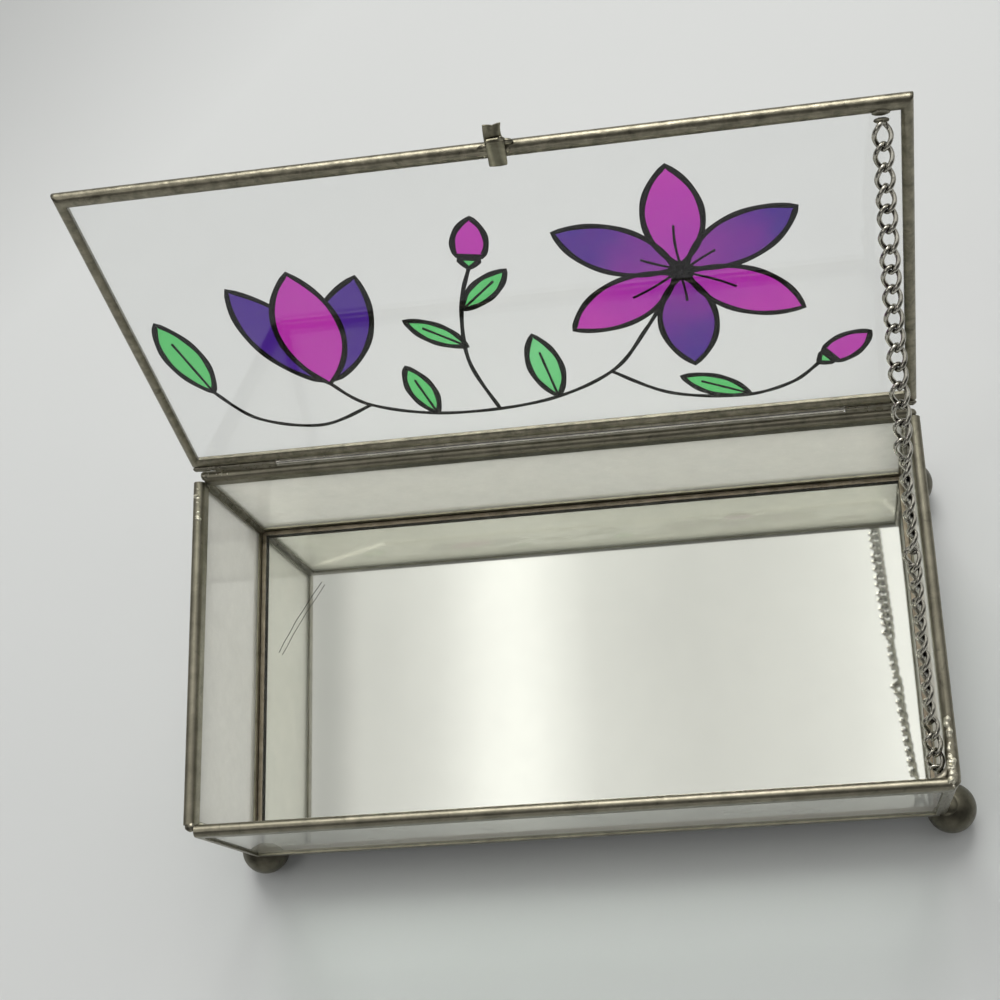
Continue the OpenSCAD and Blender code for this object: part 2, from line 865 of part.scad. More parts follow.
module picture_lead() {
  color([0.05, 0.05, 0.05]) on_lid_glass(line_h) difference() {
    union() {
      for (i = [0 : 5])
        star_petal(i, line_w / 2);
      translate(star_at) circle(r = hub_r);
      cup_middle(line_w / 2);
      for (s = [-1, 1])
        translate(cup_at) rotate(90 + s * 24) translate([cup_len / 2, 0])
          lens(cup_len, cup_len * 0.36, line_w / 2);
      for (i = [0 : len(leaves) - 1])
        one_leaf(i, line_w / 2);
      for (i = [0 : len(buds) - 1])
        bud(i, line_w / 2);
      stems();
    }
    difference() {
      filled_shapes();
      for (i = [0 : len(leaves) - 1])
        leaf_rib(i);
      for (i = [0 : len(buds) - 1])
        intersection() {
          bud(i, 0);
          difference() {
            bud_cup(i);
            translate([buds[i][0], buds[i][1]] * u) rotate(buds[i][2])
              translate([-bud_back, 0]) circle(r = bud_cup_r - bud_line, $fn = 90);
          }
        }
    }
  }
}

module picture_purple() {
  color([0.33, 0.1, 0.6]) on_lid_glass(coat_t) {
    for (i = [0 : 2 : 5])
      star_petal(i, -line_w / 2);
    for (s = [-1, 1])
      cup_side(s, -line_w / 2);
  }
}

module picture_magenta() {
  color([0.72, 0.18, 0.66]) on_lid_glass(coat_t) {
    for (i = [1 : 2 : 5])
      star_petal(i, -line_w / 2);
    cup_middle(-line_w / 2);
    for (i = [0 : len(buds) - 1])
      difference() {
        bud(i, -line_w / 2);
        bud_cup(i);
      }
  }
}

module picture_green() {
  color([0.35, 0.75, 0.45]) on_lid_glass(coat_t) {
    for (i = [0 : len(leaves) - 1])
      difference() {
        one_leaf(i, -line_w / 2);
        leaf_rib(i);
      }
    for (i = [0 : len(buds) - 1])
      intersection() {
        bud(i, -line_w / 2);
        translate([buds[i][0], buds[i][1]] * u) rotate(buds[i][2])
          translate([-bud_back, 0]) circle(r = bud_cup_r - bud_line, $fn = 90);
      }
  }
}

front_came();
back_came();
left_came();
right_came();
front_glass();
back_glass();
left_glass();
right_glass();
mirror_pane();
mirror_silver();
mirror_paint();
mirror_edge_strip();
floor_solder_front();
floor_solder_back();
floor_solder_left();
floor_solder_right();
corner_seam_fl();
corner_seam_fr();
corner_seam_bl();
corner_seam_br();
ball_foot_fl();
ball_foot_fr();
ball_foot_bl();
ball_foot_br();
foot_solder_fl();
foot_solder_fr();
foot_solder_bl();
foot_solder_br();
hinge_rod();
rod_solder_left();
rod_solder_right();
chain_hook();
hook_solder();
stay_chain();
lid_came();
lid_glass();
hinge_tube();
tube_solder();
lift_tab();
tab_solder();
chain_eye();
chain_top_solder();
picture_lead();
picture_purple();
picture_magenta();
picture_green();
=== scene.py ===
"""Glass casket box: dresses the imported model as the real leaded-glass box, in metres."""

from __future__ import annotations

import logging
import math
import random
from dataclasses import dataclass, field
from enum import Enum
from typing import Protocol

import bmesh
import bpy
from mathutils import Matrix, Vector

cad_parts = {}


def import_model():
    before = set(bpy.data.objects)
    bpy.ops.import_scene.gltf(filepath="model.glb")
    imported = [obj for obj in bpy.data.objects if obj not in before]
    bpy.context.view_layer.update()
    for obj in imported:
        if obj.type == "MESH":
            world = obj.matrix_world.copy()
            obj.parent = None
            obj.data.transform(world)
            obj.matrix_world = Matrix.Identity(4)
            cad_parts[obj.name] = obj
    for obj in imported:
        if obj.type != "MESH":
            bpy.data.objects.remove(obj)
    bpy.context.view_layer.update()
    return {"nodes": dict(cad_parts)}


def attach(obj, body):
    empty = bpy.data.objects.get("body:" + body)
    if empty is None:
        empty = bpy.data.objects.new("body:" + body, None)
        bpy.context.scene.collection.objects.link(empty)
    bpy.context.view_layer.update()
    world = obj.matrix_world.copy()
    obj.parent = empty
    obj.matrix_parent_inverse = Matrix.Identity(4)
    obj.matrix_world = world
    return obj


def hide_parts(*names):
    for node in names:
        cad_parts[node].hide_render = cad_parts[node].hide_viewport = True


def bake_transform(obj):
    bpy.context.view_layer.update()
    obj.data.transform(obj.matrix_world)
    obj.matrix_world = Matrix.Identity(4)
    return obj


LOG = logging.getLogger("glass_casket")
MM = 0.001
Point = tuple[float, float, float]
Colour = tuple[float, float, float]
Flat = tuple[float, float]


class Body(str, Enum):
    """The two rigid bodies that a piece can ride on."""

    BOX = "box"
    LID = "lid"


# ---------------------------------------------------------------- node trees


@dataclass
class NodePad:
    """A small helper that adds and joins nodes of one material or world tree."""

    tree: bpy.types.NodeTree

    def add(self, kind: str, **values: object) -> bpy.types.Node:
        """Add one node.

        Args:
            kind: Blender's node type name.
            **values: Properties to set on the node.

        Returns:
            The new node.
        """
        node = self.tree.nodes.new(kind)
        for name, value in values.items():
            setattr(node, name, value)
        return node

    def join(self, source: bpy.types.NodeSocket, target: bpy.types.NodeSocket) -> None:
        """Link an output socket to an input socket."""
        self.tree.links.new(source, target)

    def object_place(self) -> bpy.types.NodeSocket:
        """Return the object coordinates, which move with the piece."""
        return self.add("ShaderNodeTexCoord").outputs["Object"]

    def noise(
        self,
        place: bpy.types.NodeSocket,
        scale: float,
        detail: float = 4.0,
        roughness: float = 0.55,
        distortion: float = 0.0,
    ) -> bpy.types.NodeSocket:
        """Add a noise texture.

        Args:
            place: Coordinates in metres.
            scale: Blobs per metre.
            detail: Number of finer octaves.
            roughness: Strength of the finer octaves.
            distortion: Swirl of the pattern.

        Returns:
            The noise value socket.
        """
        node = self.add("ShaderNodeTexNoise")
        node.inputs["Scale"].default_value = scale
        node.inputs["Detail"].default_value = detail
        node.inputs["Roughness"].default_value = roughness
        node.inputs["Distortion"].default_value = distortion
        self.join(place, node.inputs["Vector"])
        return node.outputs["Fac"]

    def ramp(
        self, value: bpy.types.NodeSocket, stops: list[tuple[float, Colour]]
    ) -> bpy.types.NodeSocket:
        """Add a colour ramp.

        Args:
            value: The driving value.
            stops: Position and linear colour of each stop.

        Returns:
            The colour socket.
        """
        node = self.add("ShaderNodeValToRGB")
        elements = node.color_ramp.elements
        while len(elements) < len(stops):
            elements.new(1.0)
        for element, (place, colour) in zip(elements, stops):
            element.position = place
            element.color = (*colour, 1.0)
        self.join(value, node.inputs["Fac"])
        return node.outputs["Color"]

    def span(
        self,
        value: bpy.types.NodeSocket,
        source: tuple[float, float],
        target: tuple[float, float],
    ) -> bpy.types.NodeSocket:
        """Map a value from one range to another, with clamping.

        Args:
            value: The driving value.
            source: Lowest and highest value read.
            target: Values given for them.

        Returns:
            The mapped value socket.
        """
        node = self.add("ShaderNodeMapRange")
        node.inputs["From Min"].default_value = source[0]
        node.inputs["From Max"].default_value = source[1]
        node.inputs["To Min"].default_value = target[0]
        node.inputs["To Max"].default_value = target[1]
        self.join(value, node.inputs["Value"])
        return node.outputs["Result"]

    def math(
        self,
        operation: str,
        first: bpy.types.NodeSocket,
        second: bpy.types.NodeSocket | float,
    ) -> bpy.types.NodeSocket:
        """Add a math node with two inputs.

        Args:
            operation: Blender's name of the operation.
            first: The first input.
            second: The second input, a socket or a plain number.

        Returns:
            The value socket.
        """
        node = self.add("ShaderNodeMath", operation=operation)
        self.join(first, node.inputs[0])
        if isinstance(second, bpy.types.NodeSocket):
            self.join(second, node.inputs[1])
        else:
            node.inputs[1].default_value = second
        return node.outputs["Value"]

    def axes(self, place: bpy.types.NodeSocket) -> bpy.types.NodeOutputs:
        """Split a place or direction into its x, y and z sockets.

        Args:
            place: The vector socket.

        Returns:
            The three value sockets.
        """
        node = self.add("ShaderNodeSeparateXYZ")
        self.join(place, node.inputs["Vector"])
        return node.outputs

    def scale(
        self, colour: bpy.types.NodeSocket, share: bpy.types.NodeSocket
    ) -> bpy.types.NodeSocket:
        """Darken or lighten a colour by a varying share.

        Args:
            colour: The colour socket.
            share: The factor on it.

        Returns:
            The new colour socket.
        """
        node = self.add("ShaderNodeVectorMath", operation="SCALE")
        self.join(colour, node.inputs[0])
        self.join(share, node.inputs["Scale"])
        return node.outputs["Vector"]

    def blend(
        self,
        share: bpy.types.NodeSocket | float,
        first: bpy.types.NodeSocket,
        second: bpy.types.NodeSocket,
    ) -> bpy.types.NodeSocket:
        """Mix two shaders.

        Args:
            share: Share of the second one, a socket or a plain number.
            first: The first shader.
            second: The second shader.

        Returns:
            The mixed shader socket.
        """
        node = self.add("ShaderNodeMixShader")
        if isinstance(share, bpy.types.NodeSocket):
            self.join(share, node.inputs["Fac"])
        else:
            node.inputs["Fac"].default_value = share
        self.join(first, node.inputs[1])
        self.join(second, node.inputs[2])
        return node.outputs["Shader"]

    def show(self, shader: bpy.types.NodeSocket) -> None:
        """Join a shader to the material's output in place of the plain one."""
        output = next(n for n in self.tree.nodes if n.type == "OUTPUT_MATERIAL")
        self.join(shader, output.inputs["Surface"])

    def bump(
        self, height: bpy.types.NodeSocket, strength: float, distance: float
    ) -> bpy.types.NodeSocket:
        """Add a bump node.

        Args:
            height: The height value.
            strength: Share of the bump that shows.
            distance: Height of one unit, in metres.

        Returns:
            The normal socket.
        """
        node = self.add("ShaderNodeBump")
        node.inputs["Strength"].default_value = strength
        node.inputs["Distance"].default_value = distance
        self.join(height, node.inputs["Height"])
        return node.outputs["Normal"]


def fresh_material(name: str) -> tuple[bpy.types.Material, NodePad, bpy.types.Node]:
    """Make an empty material with a Principled shader and an output.

    Args:
        name: The finish's name.

    Returns:
        The material, its node helper and its Principled node.
    """
    material = bpy.data.materials.new(name)
    material.use_nodes = True
    material.node_tree.nodes.clear()
    pad = NodePad(material.node_tree)
    output = pad.add("ShaderNodeOutputMaterial")
    shader = pad.add("ShaderNodeBsdfPrincipled")
    pad.join(shader.outputs["BSDF"], output.inputs["Surface"])
    return material, pad, shader


# ---------------------------------------------------------------- finishes

MIDDLE = (0.3, 0.7)  # where nearly all values of a noise lie


def grey(tone: float) -> Colour:
    """Return a grey of one tone."""
    return (tone, tone, tone)


def toned(colour: Colour, share: float) -> Colour:
    """Return a colour made darker or lighter by a share."""
    return tuple(share * v for v in colour)


class Finish(Protocol):
    """Anything that has a name and builds a material."""

    @property
    def name(self) -> str:
        """Name of the material."""

    def material(self) -> bpy.types.Material:
        """Build the material."""


@dataclass(frozen=True)
class AgedMetal:
    """Aged pewter-grey metal with patina, streaks and a soft satin shine, with optional
    painted shade in crevices and painted highlights along edges.
    """

    name: str
    light: Colour
    dark: Colour
    patina: Colour
    rough: tuple[float, float] = (0.28, 0.48)
    grain: float = 900.0
    lump: float = 220.0
    lump_depth: float = 0.00006
    patina_share: tuple[float, float] = (0.56, 0.74)
    # Painted shade in crevices: reach of the ambient occlusion and the darkest share of the
    # base colour.
    crevice_shade: tuple[float, float] | None = None
    # Painted highlight bands: middle, half width and gain across the piece.
    edge_sheen: tuple[float, float, float] | None = None
    patina_most: float = 0.85
    # Occlusion range over which the painted crevice shade fades in.
    hollow: tuple[float, float] = (0.25, 0.85)
    fine_share: float = 0.22
    bump_share: float = 0.7
    # Stops of the painted highlights and the darker middle between them.
    sheen_stops: tuple[tuple[float, float, float], ...] = (
        (0.0, 0.9, 0.0),
        (0.16, 0.0, 1.0),
        (0.32, 1.0, 0.0),
        (0.6, 0.8, 0.0),
        (0.86, 0.0, 0.75),
        (1.0, 0.8, 0.0),
    )

    def material(self) -> bpy.types.Material:
        """Build the material from three noises: tone, patina and surface lumps, plus any
        painted edge highlights and painted crevice shade.

        Returns:
            The material.
        """
        material, pad, shader = fresh_material(self.name)
        place = pad.object_place()
        tone = pad.noise(place, self.lump, 5.0, 0.6, 0.3)
        base = pad.ramp(tone, [(0.32, self.dark), (0.66, self.light)])
        spots = pad.noise(place, self.grain * 0.35, 6.0, 0.7, 0.6)
        share = pad.span(spots, self.patina_share, (0.0, self.patina_most))
        mix = pad.add("ShaderNodeMix", data_type="RGBA")
        pad.join(share, mix.inputs["Factor"])
        pad.join(base, mix.inputs["A"])
        mix.inputs["B"].default_value = (*self.patina, 1.0)
        tint = mix.outputs["Result"]
        # Painted highlights near the edges, painted shade in the middle.
        if self.edge_sheen:
            tint = self.paint_edge_sheen(pad, place, tint)
        if self.crevice_shade:
            # Painted shade: the base colour darkens where ambient occlusion finds crevices,
            # such as between chain links.
            near = pad.add("ShaderNodeAmbientOcclusion", samples=8)
            near.inputs["Distance"].default_value = self.crevice_shade[0]
            tint = pad.scale(
                tint, pad.span(near.outputs["AO"], self.hollow, (self.crevice_shade[1], 1.0))
            )
        pad.join(tint, shader.inputs["Base Color"])
        shader.inputs["Metallic"].default_value = 1.0
        fine = pad.noise(place, self.grain, 5.0, 0.7)
        pad.join(pad.span(fine, MIDDLE, self.rough), shader.inputs["Roughness"])
        lumps = pad.noise(place, self.lump * 2.2, 4.0, 0.6)
        height = pad.math("ADD", lumps, pad.math("MULTIPLY", fine, self.fine_share))
        pad.join(pad.bump(height, self.bump_share, self.lump_depth), shader.inputs["Normal"])
        return material

    def paint_edge_sheen(
        self, pad: NodePad, place: bpy.types.NodeSocket, tint: bpy.types.NodeSocket
    ) -> bpy.types.NodeSocket:
        """Return the tint with painted highlights toward both long edges and painted shade
        between them, standing in for the band's hollow shading.

        Args:
            pad: The material's node helper.
            place: Object coordinates.
            tint: The colour before the wear.

        Returns:
            The colour socket.
        """
        middle, half, gain = self.edge_sheen
        across = pad.axes(place)["X"]
        share = pad.span(across, (middle - half, middle + half), (0.0, 1.0))
        tone = pad.ramp(
            share, [(at, grey(plain + part * gain)) for at, plain, part in self.sheen_stops]
        )
        both = pad.add("ShaderNodeVectorMath", operation="MULTIPLY")
        pad.join(tint, both.inputs[0])
        pad.join(tone, both.inputs[1])
        return both.outputs["Vector"]


@dataclass(frozen=True)
class EdgeShade:
    """Painted shade along the edges of a pane, where the came shades it."""

    axis: int
    ends: tuple[float, float]
    foot: float
    head: float
    reach: float = 0.009
    strength: float = 0.42
    # Tone of the painted shade.
    colour: Colour = (0.2, 0.19, 0.14)
    wander: tuple[float, float] = (0.55, 1.1)
    fade: float = 1.6


@dataclass(frozen=True)
class ClearGlass:
    """Window glass with a faint tint, thin dust and soft shadows."""

    name: str
    tint: Colour = (0.985, 0.992, 0.985)
    dust: tuple[float, float] = (0.0, 0.05)
    dust_colour: Colour = (0.82, 0.84, 0.83)
    rough: float = 0.0
    gloss: float = 0.5
    dust_rough: float = 0.12
    glow: float = 0.0
    dust_scale: float = 60.0
    edge_shade: EdgeShade | None = None
    index: float = 1.5
    speck_scale: float = 2600.0
    speck_most: float = 0.25
    shadow_tint: Colour = (0.86, 0.9, 0.87)

    def material(self) -> bpy.types.Material:
        """Build clear glass, mixed with a little dust, that lets lamp light through.

        Returns:
            The material.
        """
        material, pad, shader = fresh_material(self.name)
        shader.inputs["Base Color"].default_value = (*self.tint, 1.0)
        shader.inputs["Roughness"].default_value = self.rough
        shader.inputs["IOR"].default_value = self.index
        shader.inputs["Transmission Weight"].default_value = 1.0
        shader.inputs["Specular IOR Level"].default_value = self.gloss
        dust = pad.add("ShaderNodeBsdfPrincipled")
        dust.inputs["Base Color"].default_value = (*self.dust_colour, 1.0)
        dust.inputs["Roughness"].default_value = self.dust_rough
        place = pad.object_place()
        veil = pad.noise(place, self.dust_scale, 5.0, 0.65)
        specks = pad.noise(place, self.speck_scale, 2.0, 0.5)
        share = pad.math(
            "ADD",
            pad.span(veil, MIDDLE, self.dust),
            pad.span(specks, (0.71, 0.78), (0.0, self.speck_most)),
        )
        # Painted shade: a dark tone mixed in along the pane's edges.
        if self.edge_shade:
            edge_shade_share = self.edge_shade_share(pad, place)
            share = pad.math("MAXIMUM", share, edge_shade_share)
            tone = pad.ramp(
                edge_shade_share, [(0.0, self.dust_colour), (self.edge_shade.strength, self.edge_shade.colour)]
            )
            pad.join(tone, dust.inputs["Base Color"])
        glow = pad.add("ShaderNodeBsdfTranslucent")
        glow.inputs["Color"].default_value = (*self.dust_colour, 1.0)
        haze = pad.blend(self.glow, dust.outputs["BSDF"], glow.outputs["BSDF"])
        with_dust = pad.blend(share, shader.outputs["BSDF"], haze)
        passing = pad.add("ShaderNodeBsdfTransparent")
        passing.inputs["Color"].default_value = (*self.shadow_tint, 1.0)
        shadow_ray = pad.add("ShaderNodeLightPath").outputs["Is Shadow Ray"]
        pad.show(pad.blend(shadow_ray, with_dust, passing.outputs["BSDF"]))
        return material

    def edge_shade_share(self, pad: NodePad, place: bpy.types.NodeSocket) -> bpy.types.NodeSocket:
        """Return the share of painted shade, which fades away from the pane's edges.

        Args:
            pad: The material's node helper.
            place: Object coordinates.

        Returns:
            The share socket.
        """
        edge_shade = self.edge_shade
        axes = pad.axes(place)
        along, up = axes[edge_shade.axis], axes[2]
        wander = pad.span(pad.noise(place, 140.0, 4.0, 0.6), MIDDLE, edge_shade.wander)
        parts = [
            pad.span(along, (edge_shade.ends[0], edge_shade.ends[0] + edge_shade.reach), (1.0, 0.0)),
            pad.span(along, (edge_shade.ends[1] - edge_shade.reach, edge_shade.ends[1]), (0.0, 1.0)),
            pad.span(up, (edge_shade.foot, edge_shade.foot + edge_shade.reach * 0.45), (0.8, 0.0)),
            pad.span(up, (edge_shade.head - edge_shade.reach * 0.35, edge_shade.head), (0.0, 0.6)),
        ]
        most = parts[0]
        for part in parts[1:]:
            most = pad.math("MAXIMUM", most, part)
        soft = pad.math("POWER", most, edge_shade.fade)
        return pad.math("MULTIPLY", pad.math("MULTIPLY", soft, wander), edge_shade.strength)


@dataclass(frozen=True)
class SilverCoat:
    """The bright coat behind the mirror's glass."""

    name: str = "silver_coat"
    tint: Colour = (0.96, 0.955, 0.915)
    rough: float = 0.035

    def material(self) -> bpy.types.Material:
        """Build a mirror metal with a trace of haze.

        Returns:
            The material.
        """
        material, pad, shader = fresh_material(self.name)
        shader.inputs["Metallic"].default_value = 1.0
        place = pad.object_place()
        clouds = pad.noise(place, 30.0, 3.0, 0.5)
        tone = pad.ramp(clouds, [(0.35, toned(self.tint, 0.965)), (0.65, self.tint)])
        pad.join(tone, shader.inputs["Base Color"])
        shader.inputs["Roughness"].default_value = self.rough
        return material


@dataclass(frozen=True)
class Lacquer:
    """Translucent colour coat, deeper at its rim and varied by hand."""

    name: str
    deep: Colour
    bright: Colour
    centre: Point = (0.0, 0.0, 0.0)
    reach: float = 0.03
    rough: float = 0.25
    gloss: float = 0.5
    glow: float = 0.55
    clear: float = 0.93
    thinness: float = 0.5

    def material(self) -> bpy.types.Material:
        """Build a tinted see-through coat whose colour drifts from a centre outward.

        Returns:
            The material.
        """
        material, pad, shader = fresh_material(self.name)
        place = pad.object_place()
        away = pad.add("ShaderNodeVectorMath", operation="DISTANCE")
        pad.join(place, away.inputs[0])
        away.inputs[1].default_value = self.centre
        drift = pad.noise(place, 90.0, 3.0, 0.5)
        value = pad.math(
            "ADD",
            pad.span(away.outputs["Value"], (0.0, self.reach), (0.0, 0.7)),
            pad.math("MULTIPLY", drift, 0.5),
        )
        colour = pad.ramp(value, [(0.2, self.bright), (0.85, self.deep)])
        pad.join(colour, shader.inputs["Base Color"])
        shader.inputs["Roughness"].default_value = self.rough
        shader.inputs["Specular IOR Level"].default_value = self.gloss
        back = pad.add("ShaderNodeBsdfTranslucent")
        pad.join(colour, back.inputs["Color"])
        both = pad.blend(self.glow, shader.outputs["BSDF"], back.outputs["BSDF"])
        see = pad.add("ShaderNodeBsdfTransparent")
        thin = pad.add("ShaderNodeGamma")
        thin.inputs["Gamma"].default_value = self.thinness
        pad.join(colour, thin.inputs["Color"])
        pad.join(thin.outputs["Color"], see.inputs["Color"])
        pad.show(pad.blend(self.clear, both, see.outputs["BSDF"]))
        return material


@dataclass(frozen=True)
class GlossBlack:
    """The raised black outline."""

    name: str = "outline_black"
    colour: Colour = (0.003, 0.003, 0.0035)
    rough: tuple[float, float] = (0.34, 0.5)
    gloss: float = 0.14

    def material(self) -> bpy.types.Material:
        """Build a black paint with a slightly uneven gloss.

        Returns:
            The material.
        """
        material, pad, shader = fresh_material(self.name)
        place = pad.object_place()
        fine = pad.noise(place, 1200.0, 3.0, 0.6)
        tone = pad.ramp(fine, [(0.3, self.colour), (0.8, toned(self.colour, 2.2))])
        pad.join(tone, shader.inputs["Base Color"])
        pad.join(pad.span(fine, MIDDLE, self.rough), shader.inputs["Roughness"])
        pad.join(pad.bump(fine, 0.35, 0.00003), shader.inputs["Normal"])
        shader.inputs["Specular IOR Level"].default_value = self.gloss
        return material


@dataclass(frozen=True)
class MattPaint:
    """Plain matt paint with faint brush texture."""

    name: str
    colour: Colour
    rough: float = 0.7

    def material(self) -> bpy.types.Material:
        """Build a matt paint with small tone changes and grain.

        Returns:
            The material.
        """
        material, pad, shader = fresh_material(self.name)
        place = pad.object_place()
        grain = pad.noise(place, 400.0, 5.0, 0.6)
        tone = pad.ramp(grain, [(0.3, toned(self.colour, 0.85)), (0.7, self.colour)])
        pad.join(tone, shader.inputs["Base Color"])
        shader.inputs["Roughness"].default_value = self.rough
        pad.join(pad.bump(grain, 0.3, 0.00005), shader.inputs["Normal"])
        return material


@dataclass(frozen=True)
class TableTop:
    """The plain pale surface that the box stands on."""

    name: str = "pale_table"
    colour: Colour = (0.745, 0.765, 0.765)
    shaded_corner: tuple[float, float] = (0.3, 0.43)
    corner_shade_tone: float = 0.72
    rough: float = 0.5
    gloss: float = 0.3

    def material(self) -> bpy.types.Material:
        """Build a smooth pale matt surface, with painted shade deepening toward one far
        corner.

        Returns:
            The material.
        """
        material, pad, shader = fresh_material(self.name)
        place = pad.object_place()
        broad = pad.noise(place, 5.0, 2.0, 0.5)
        tone = pad.ramp(broad, [(0.35, toned(self.colour, 0.975)), (0.65, self.colour)])
        # Painted shade: the colour darkens toward one far corner.
        axes = pad.axes(place)
        slant = pad.math("SUBTRACT", axes["Y"], axes["X"])
        shade = pad.span(slant, self.shaded_corner, (1.0, self.corner_shade_tone))
        pad.join(pad.scale(tone, shade), shader.inputs["Base Color"])
        shader.inputs["Roughness"].default_value = self.rough
        shader.inputs["Specular IOR Level"].default_value = self.gloss
        return material


class Shop:
    """All finishes, each made once."""

    CAME = AgedMetal(
        "came_metal", (0.28, 0.262, 0.2), (0.185, 0.172, 0.13), (0.095, 0.088, 0.065)
    )
    LID_CAME = AgedMetal(
        "lid_came_metal",
        (0.32, 0.298, 0.225),
        (0.17, 0.158, 0.118),
        (0.09, 0.083, 0.06),
        rough=(0.26, 0.44),
        lump=420.0,
        lump_depth=0.00012,
    )
    TAB = AgedMetal(
        "tab_sheet",
        (0.27, 0.255, 0.185),
        (0.17, 0.16, 0.115),
        (0.08, 0.075, 0.052),
        rough=(0.26, 0.4),
        lump=300.0,
        # Painted highlights along the band's edges and painted shade in its middle.
        edge_sheen=(0.0062, 0.0021, 2.1),
    )
    SOLDER = AgedMetal(
        "solder_tin",
        (0.36, 0.34, 0.275),
        (0.2, 0.188, 0.145),
        (0.1, 0.092, 0.07),
        rough=(0.22, 0.42),
        lump=420.0,
        lump_depth=0.00022,
    )
    WEB = AgedMetal(
        "web_solder",
        (0.33, 0.31, 0.25),
        (0.17, 0.16, 0.122),
        (0.09, 0.082, 0.06),
        rough=(0.36, 0.56),
        lump=420.0,
        lump_depth=0.0002,
    )
    # Solder with a very light base colour: a painted highlight along the streaks.
    HIGHLIGHT_SOLDER = AgedMetal(
        "solder_painted_highlight",
        (0.93, 0.9, 0.76),
        (0.68, 0.65, 0.52),
        (0.3, 0.28, 0.21),
        rough=(0.42, 0.58),
        lump=700.0,
        lump_depth=0.0002,
    )
    BALL = AgedMetal(
        "ball_metal",
        (0.165, 0.155, 0.115),
        (0.1, 0.093, 0.07),
        (0.055, 0.05, 0.037),
        rough=(0.32, 0.52),
        lump=300.0,
        lump_depth=0.0001,
    )
    HINGE = AgedMetal(
        "hinge_metal",
        (0.66, 0.64, 0.58),
        (0.42, 0.405, 0.36),
        (0.16, 0.145, 0.12),
        rough=(0.14, 0.24),
        lump_depth=0.00002,
        patina_share=(0.68, 0.84),
    )
    CHAIN = AgedMetal(
        "chain_steel",
        (0.62, 0.6, 0.53),
        (0.36, 0.345, 0.295),
        (0.1, 0.092, 0.075),
        rough=(0.1, 0.24),
        grain=1500.0,
        lump=500.0,
        # Painted shade between the links, from ambient occlusion.
        crevice_shade=(0.0016, 0.08),
    )
    FIBRE = MattPaint("dark_fibre", (0.012, 0.012, 0.012), 0.9)
    FOIL = AgedMetal(
        "edge_foil", (0.4, 0.34, 0.26), (0.24, 0.2, 0.15), (0.09, 0.075, 0.06), lump=260.0
    )
    GLASS = ClearGlass("lid_glass_clear", (0.955, 0.961, 0.957), dust=(0.0, 0.015), gloss=0.06)
    SIDE_GLASS = ClearGlass(
        "side_glass",
        (0.97, 0.975, 0.95),
        dust=(0.48, 0.6),
        dust_colour=(0.97, 0.955, 0.9),
        dust_rough=0.5,
        glow=0.95,
        gloss=0.3,
        edge_shade=EdgeShade(1, (-0.0424, 0.0424), 0.0168, 0.057),
    )
    BACK_GLASS = ClearGlass(
        "back_glass_hazed",
        (0.97, 0.975, 0.95),
        dust=(0.48, 0.6),
        dust_colour=(0.9, 0.885, 0.825),
        dust_rough=0.5,
        glow=0.34,
        gloss=0.3,
        edge_shade=EdgeShade(0, (-0.0879, 0.0879), 0.0168, 0.057),
    )
    FRONT_GLASS = ClearGlass(
        "front_glass_clear",
        (0.97, 0.975, 0.95),
        dust=(0.16, 0.26),
        dust_colour=(0.6, 0.6, 0.54),
        dust_rough=0.3,
        edge_shade=EdgeShade(0, (-0.0879, 0.0879), 0.0168, 0.057),
    )
    MIRROR_GLASS = ClearGlass(
        "mirror_glass",
        (0.985, 0.995, 0.975),
        dust=(0.0, 0.02),
        dust_colour=(0.8, 0.8, 0.76),
        dust_scale=35.0,
    )
    SILVER = SilverCoat()
    BACK_PAINT = MattPaint("backing_paint", (0.1, 0.1, 0.11))
    BLACK = GlossBlack()
    TABLE = TableTop()

    _made: dict[str, bpy.types.Material] = {}

    @classmethod
    def get(cls, finish: Finish) -> bpy.types.Material:
        """Return the material of a finish, made at its first use.

        Args:
            finish: The finish.

        Returns:
            Its material.
        """
        if finish.name not in cls._made:
            cls._made[finish.name] = finish.material()
        return cls._made[finish.name]


# ---------------------------------------------------------------- mesh helpers


def set_out(
    name: str,
    mesh: bpy.types.Mesh,
    finish: Finish,
    body: Body | None,
    smooth: bool = True,
) -> bpy.types.Object:
    """Make an object of a mesh, give it its finish and let it ride on a body.

    Args:
        name: The piece's name.
        mesh: Its mesh.
        finish: The finish that the piece wears.
        body: The body that it rides on, or None to leave it on no body.
        smooth: Whether the faces are shaded smooth.

    Returns:
        The new object.
    """
    if smooth:
        mesh.polygons.foreach_set("use_smooth", [True] * len(mesh.polygons))
    piece = bpy.data.objects.new(name, mesh)
    bpy.context.scene.collection.objects.link(piece)
    mesh.materials.append(Shop.get(finish))
    if body is not None:
        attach(piece, body.value)
    return piece


def new_piece(
    name: str,
    points: list[Vector],
    faces: list[tuple[int, ...]],
    finish: Finish,
    body: Body | None,
    smooth: bool = True,
) -> bpy.types.Object:
    """Make a piece of points and faces.

    Args:
        name: The piece's name.
        points: Places in the shared frame, in metres.
        faces: Corner indices of each face.
        finish: The finish that the piece wears.
        body: The body that it rides on, or None to leave it on no body.
        smooth: Whether the faces are shaded smooth.

    Returns:
        The new object.
    """
    mesh = bpy.data.meshes.new(name)
    mesh.from_pydata([tuple(p) for p in points], [], faces)
    mesh.validate()
    mesh.update()
    return set_out(name, mesh, finish, body, smooth)


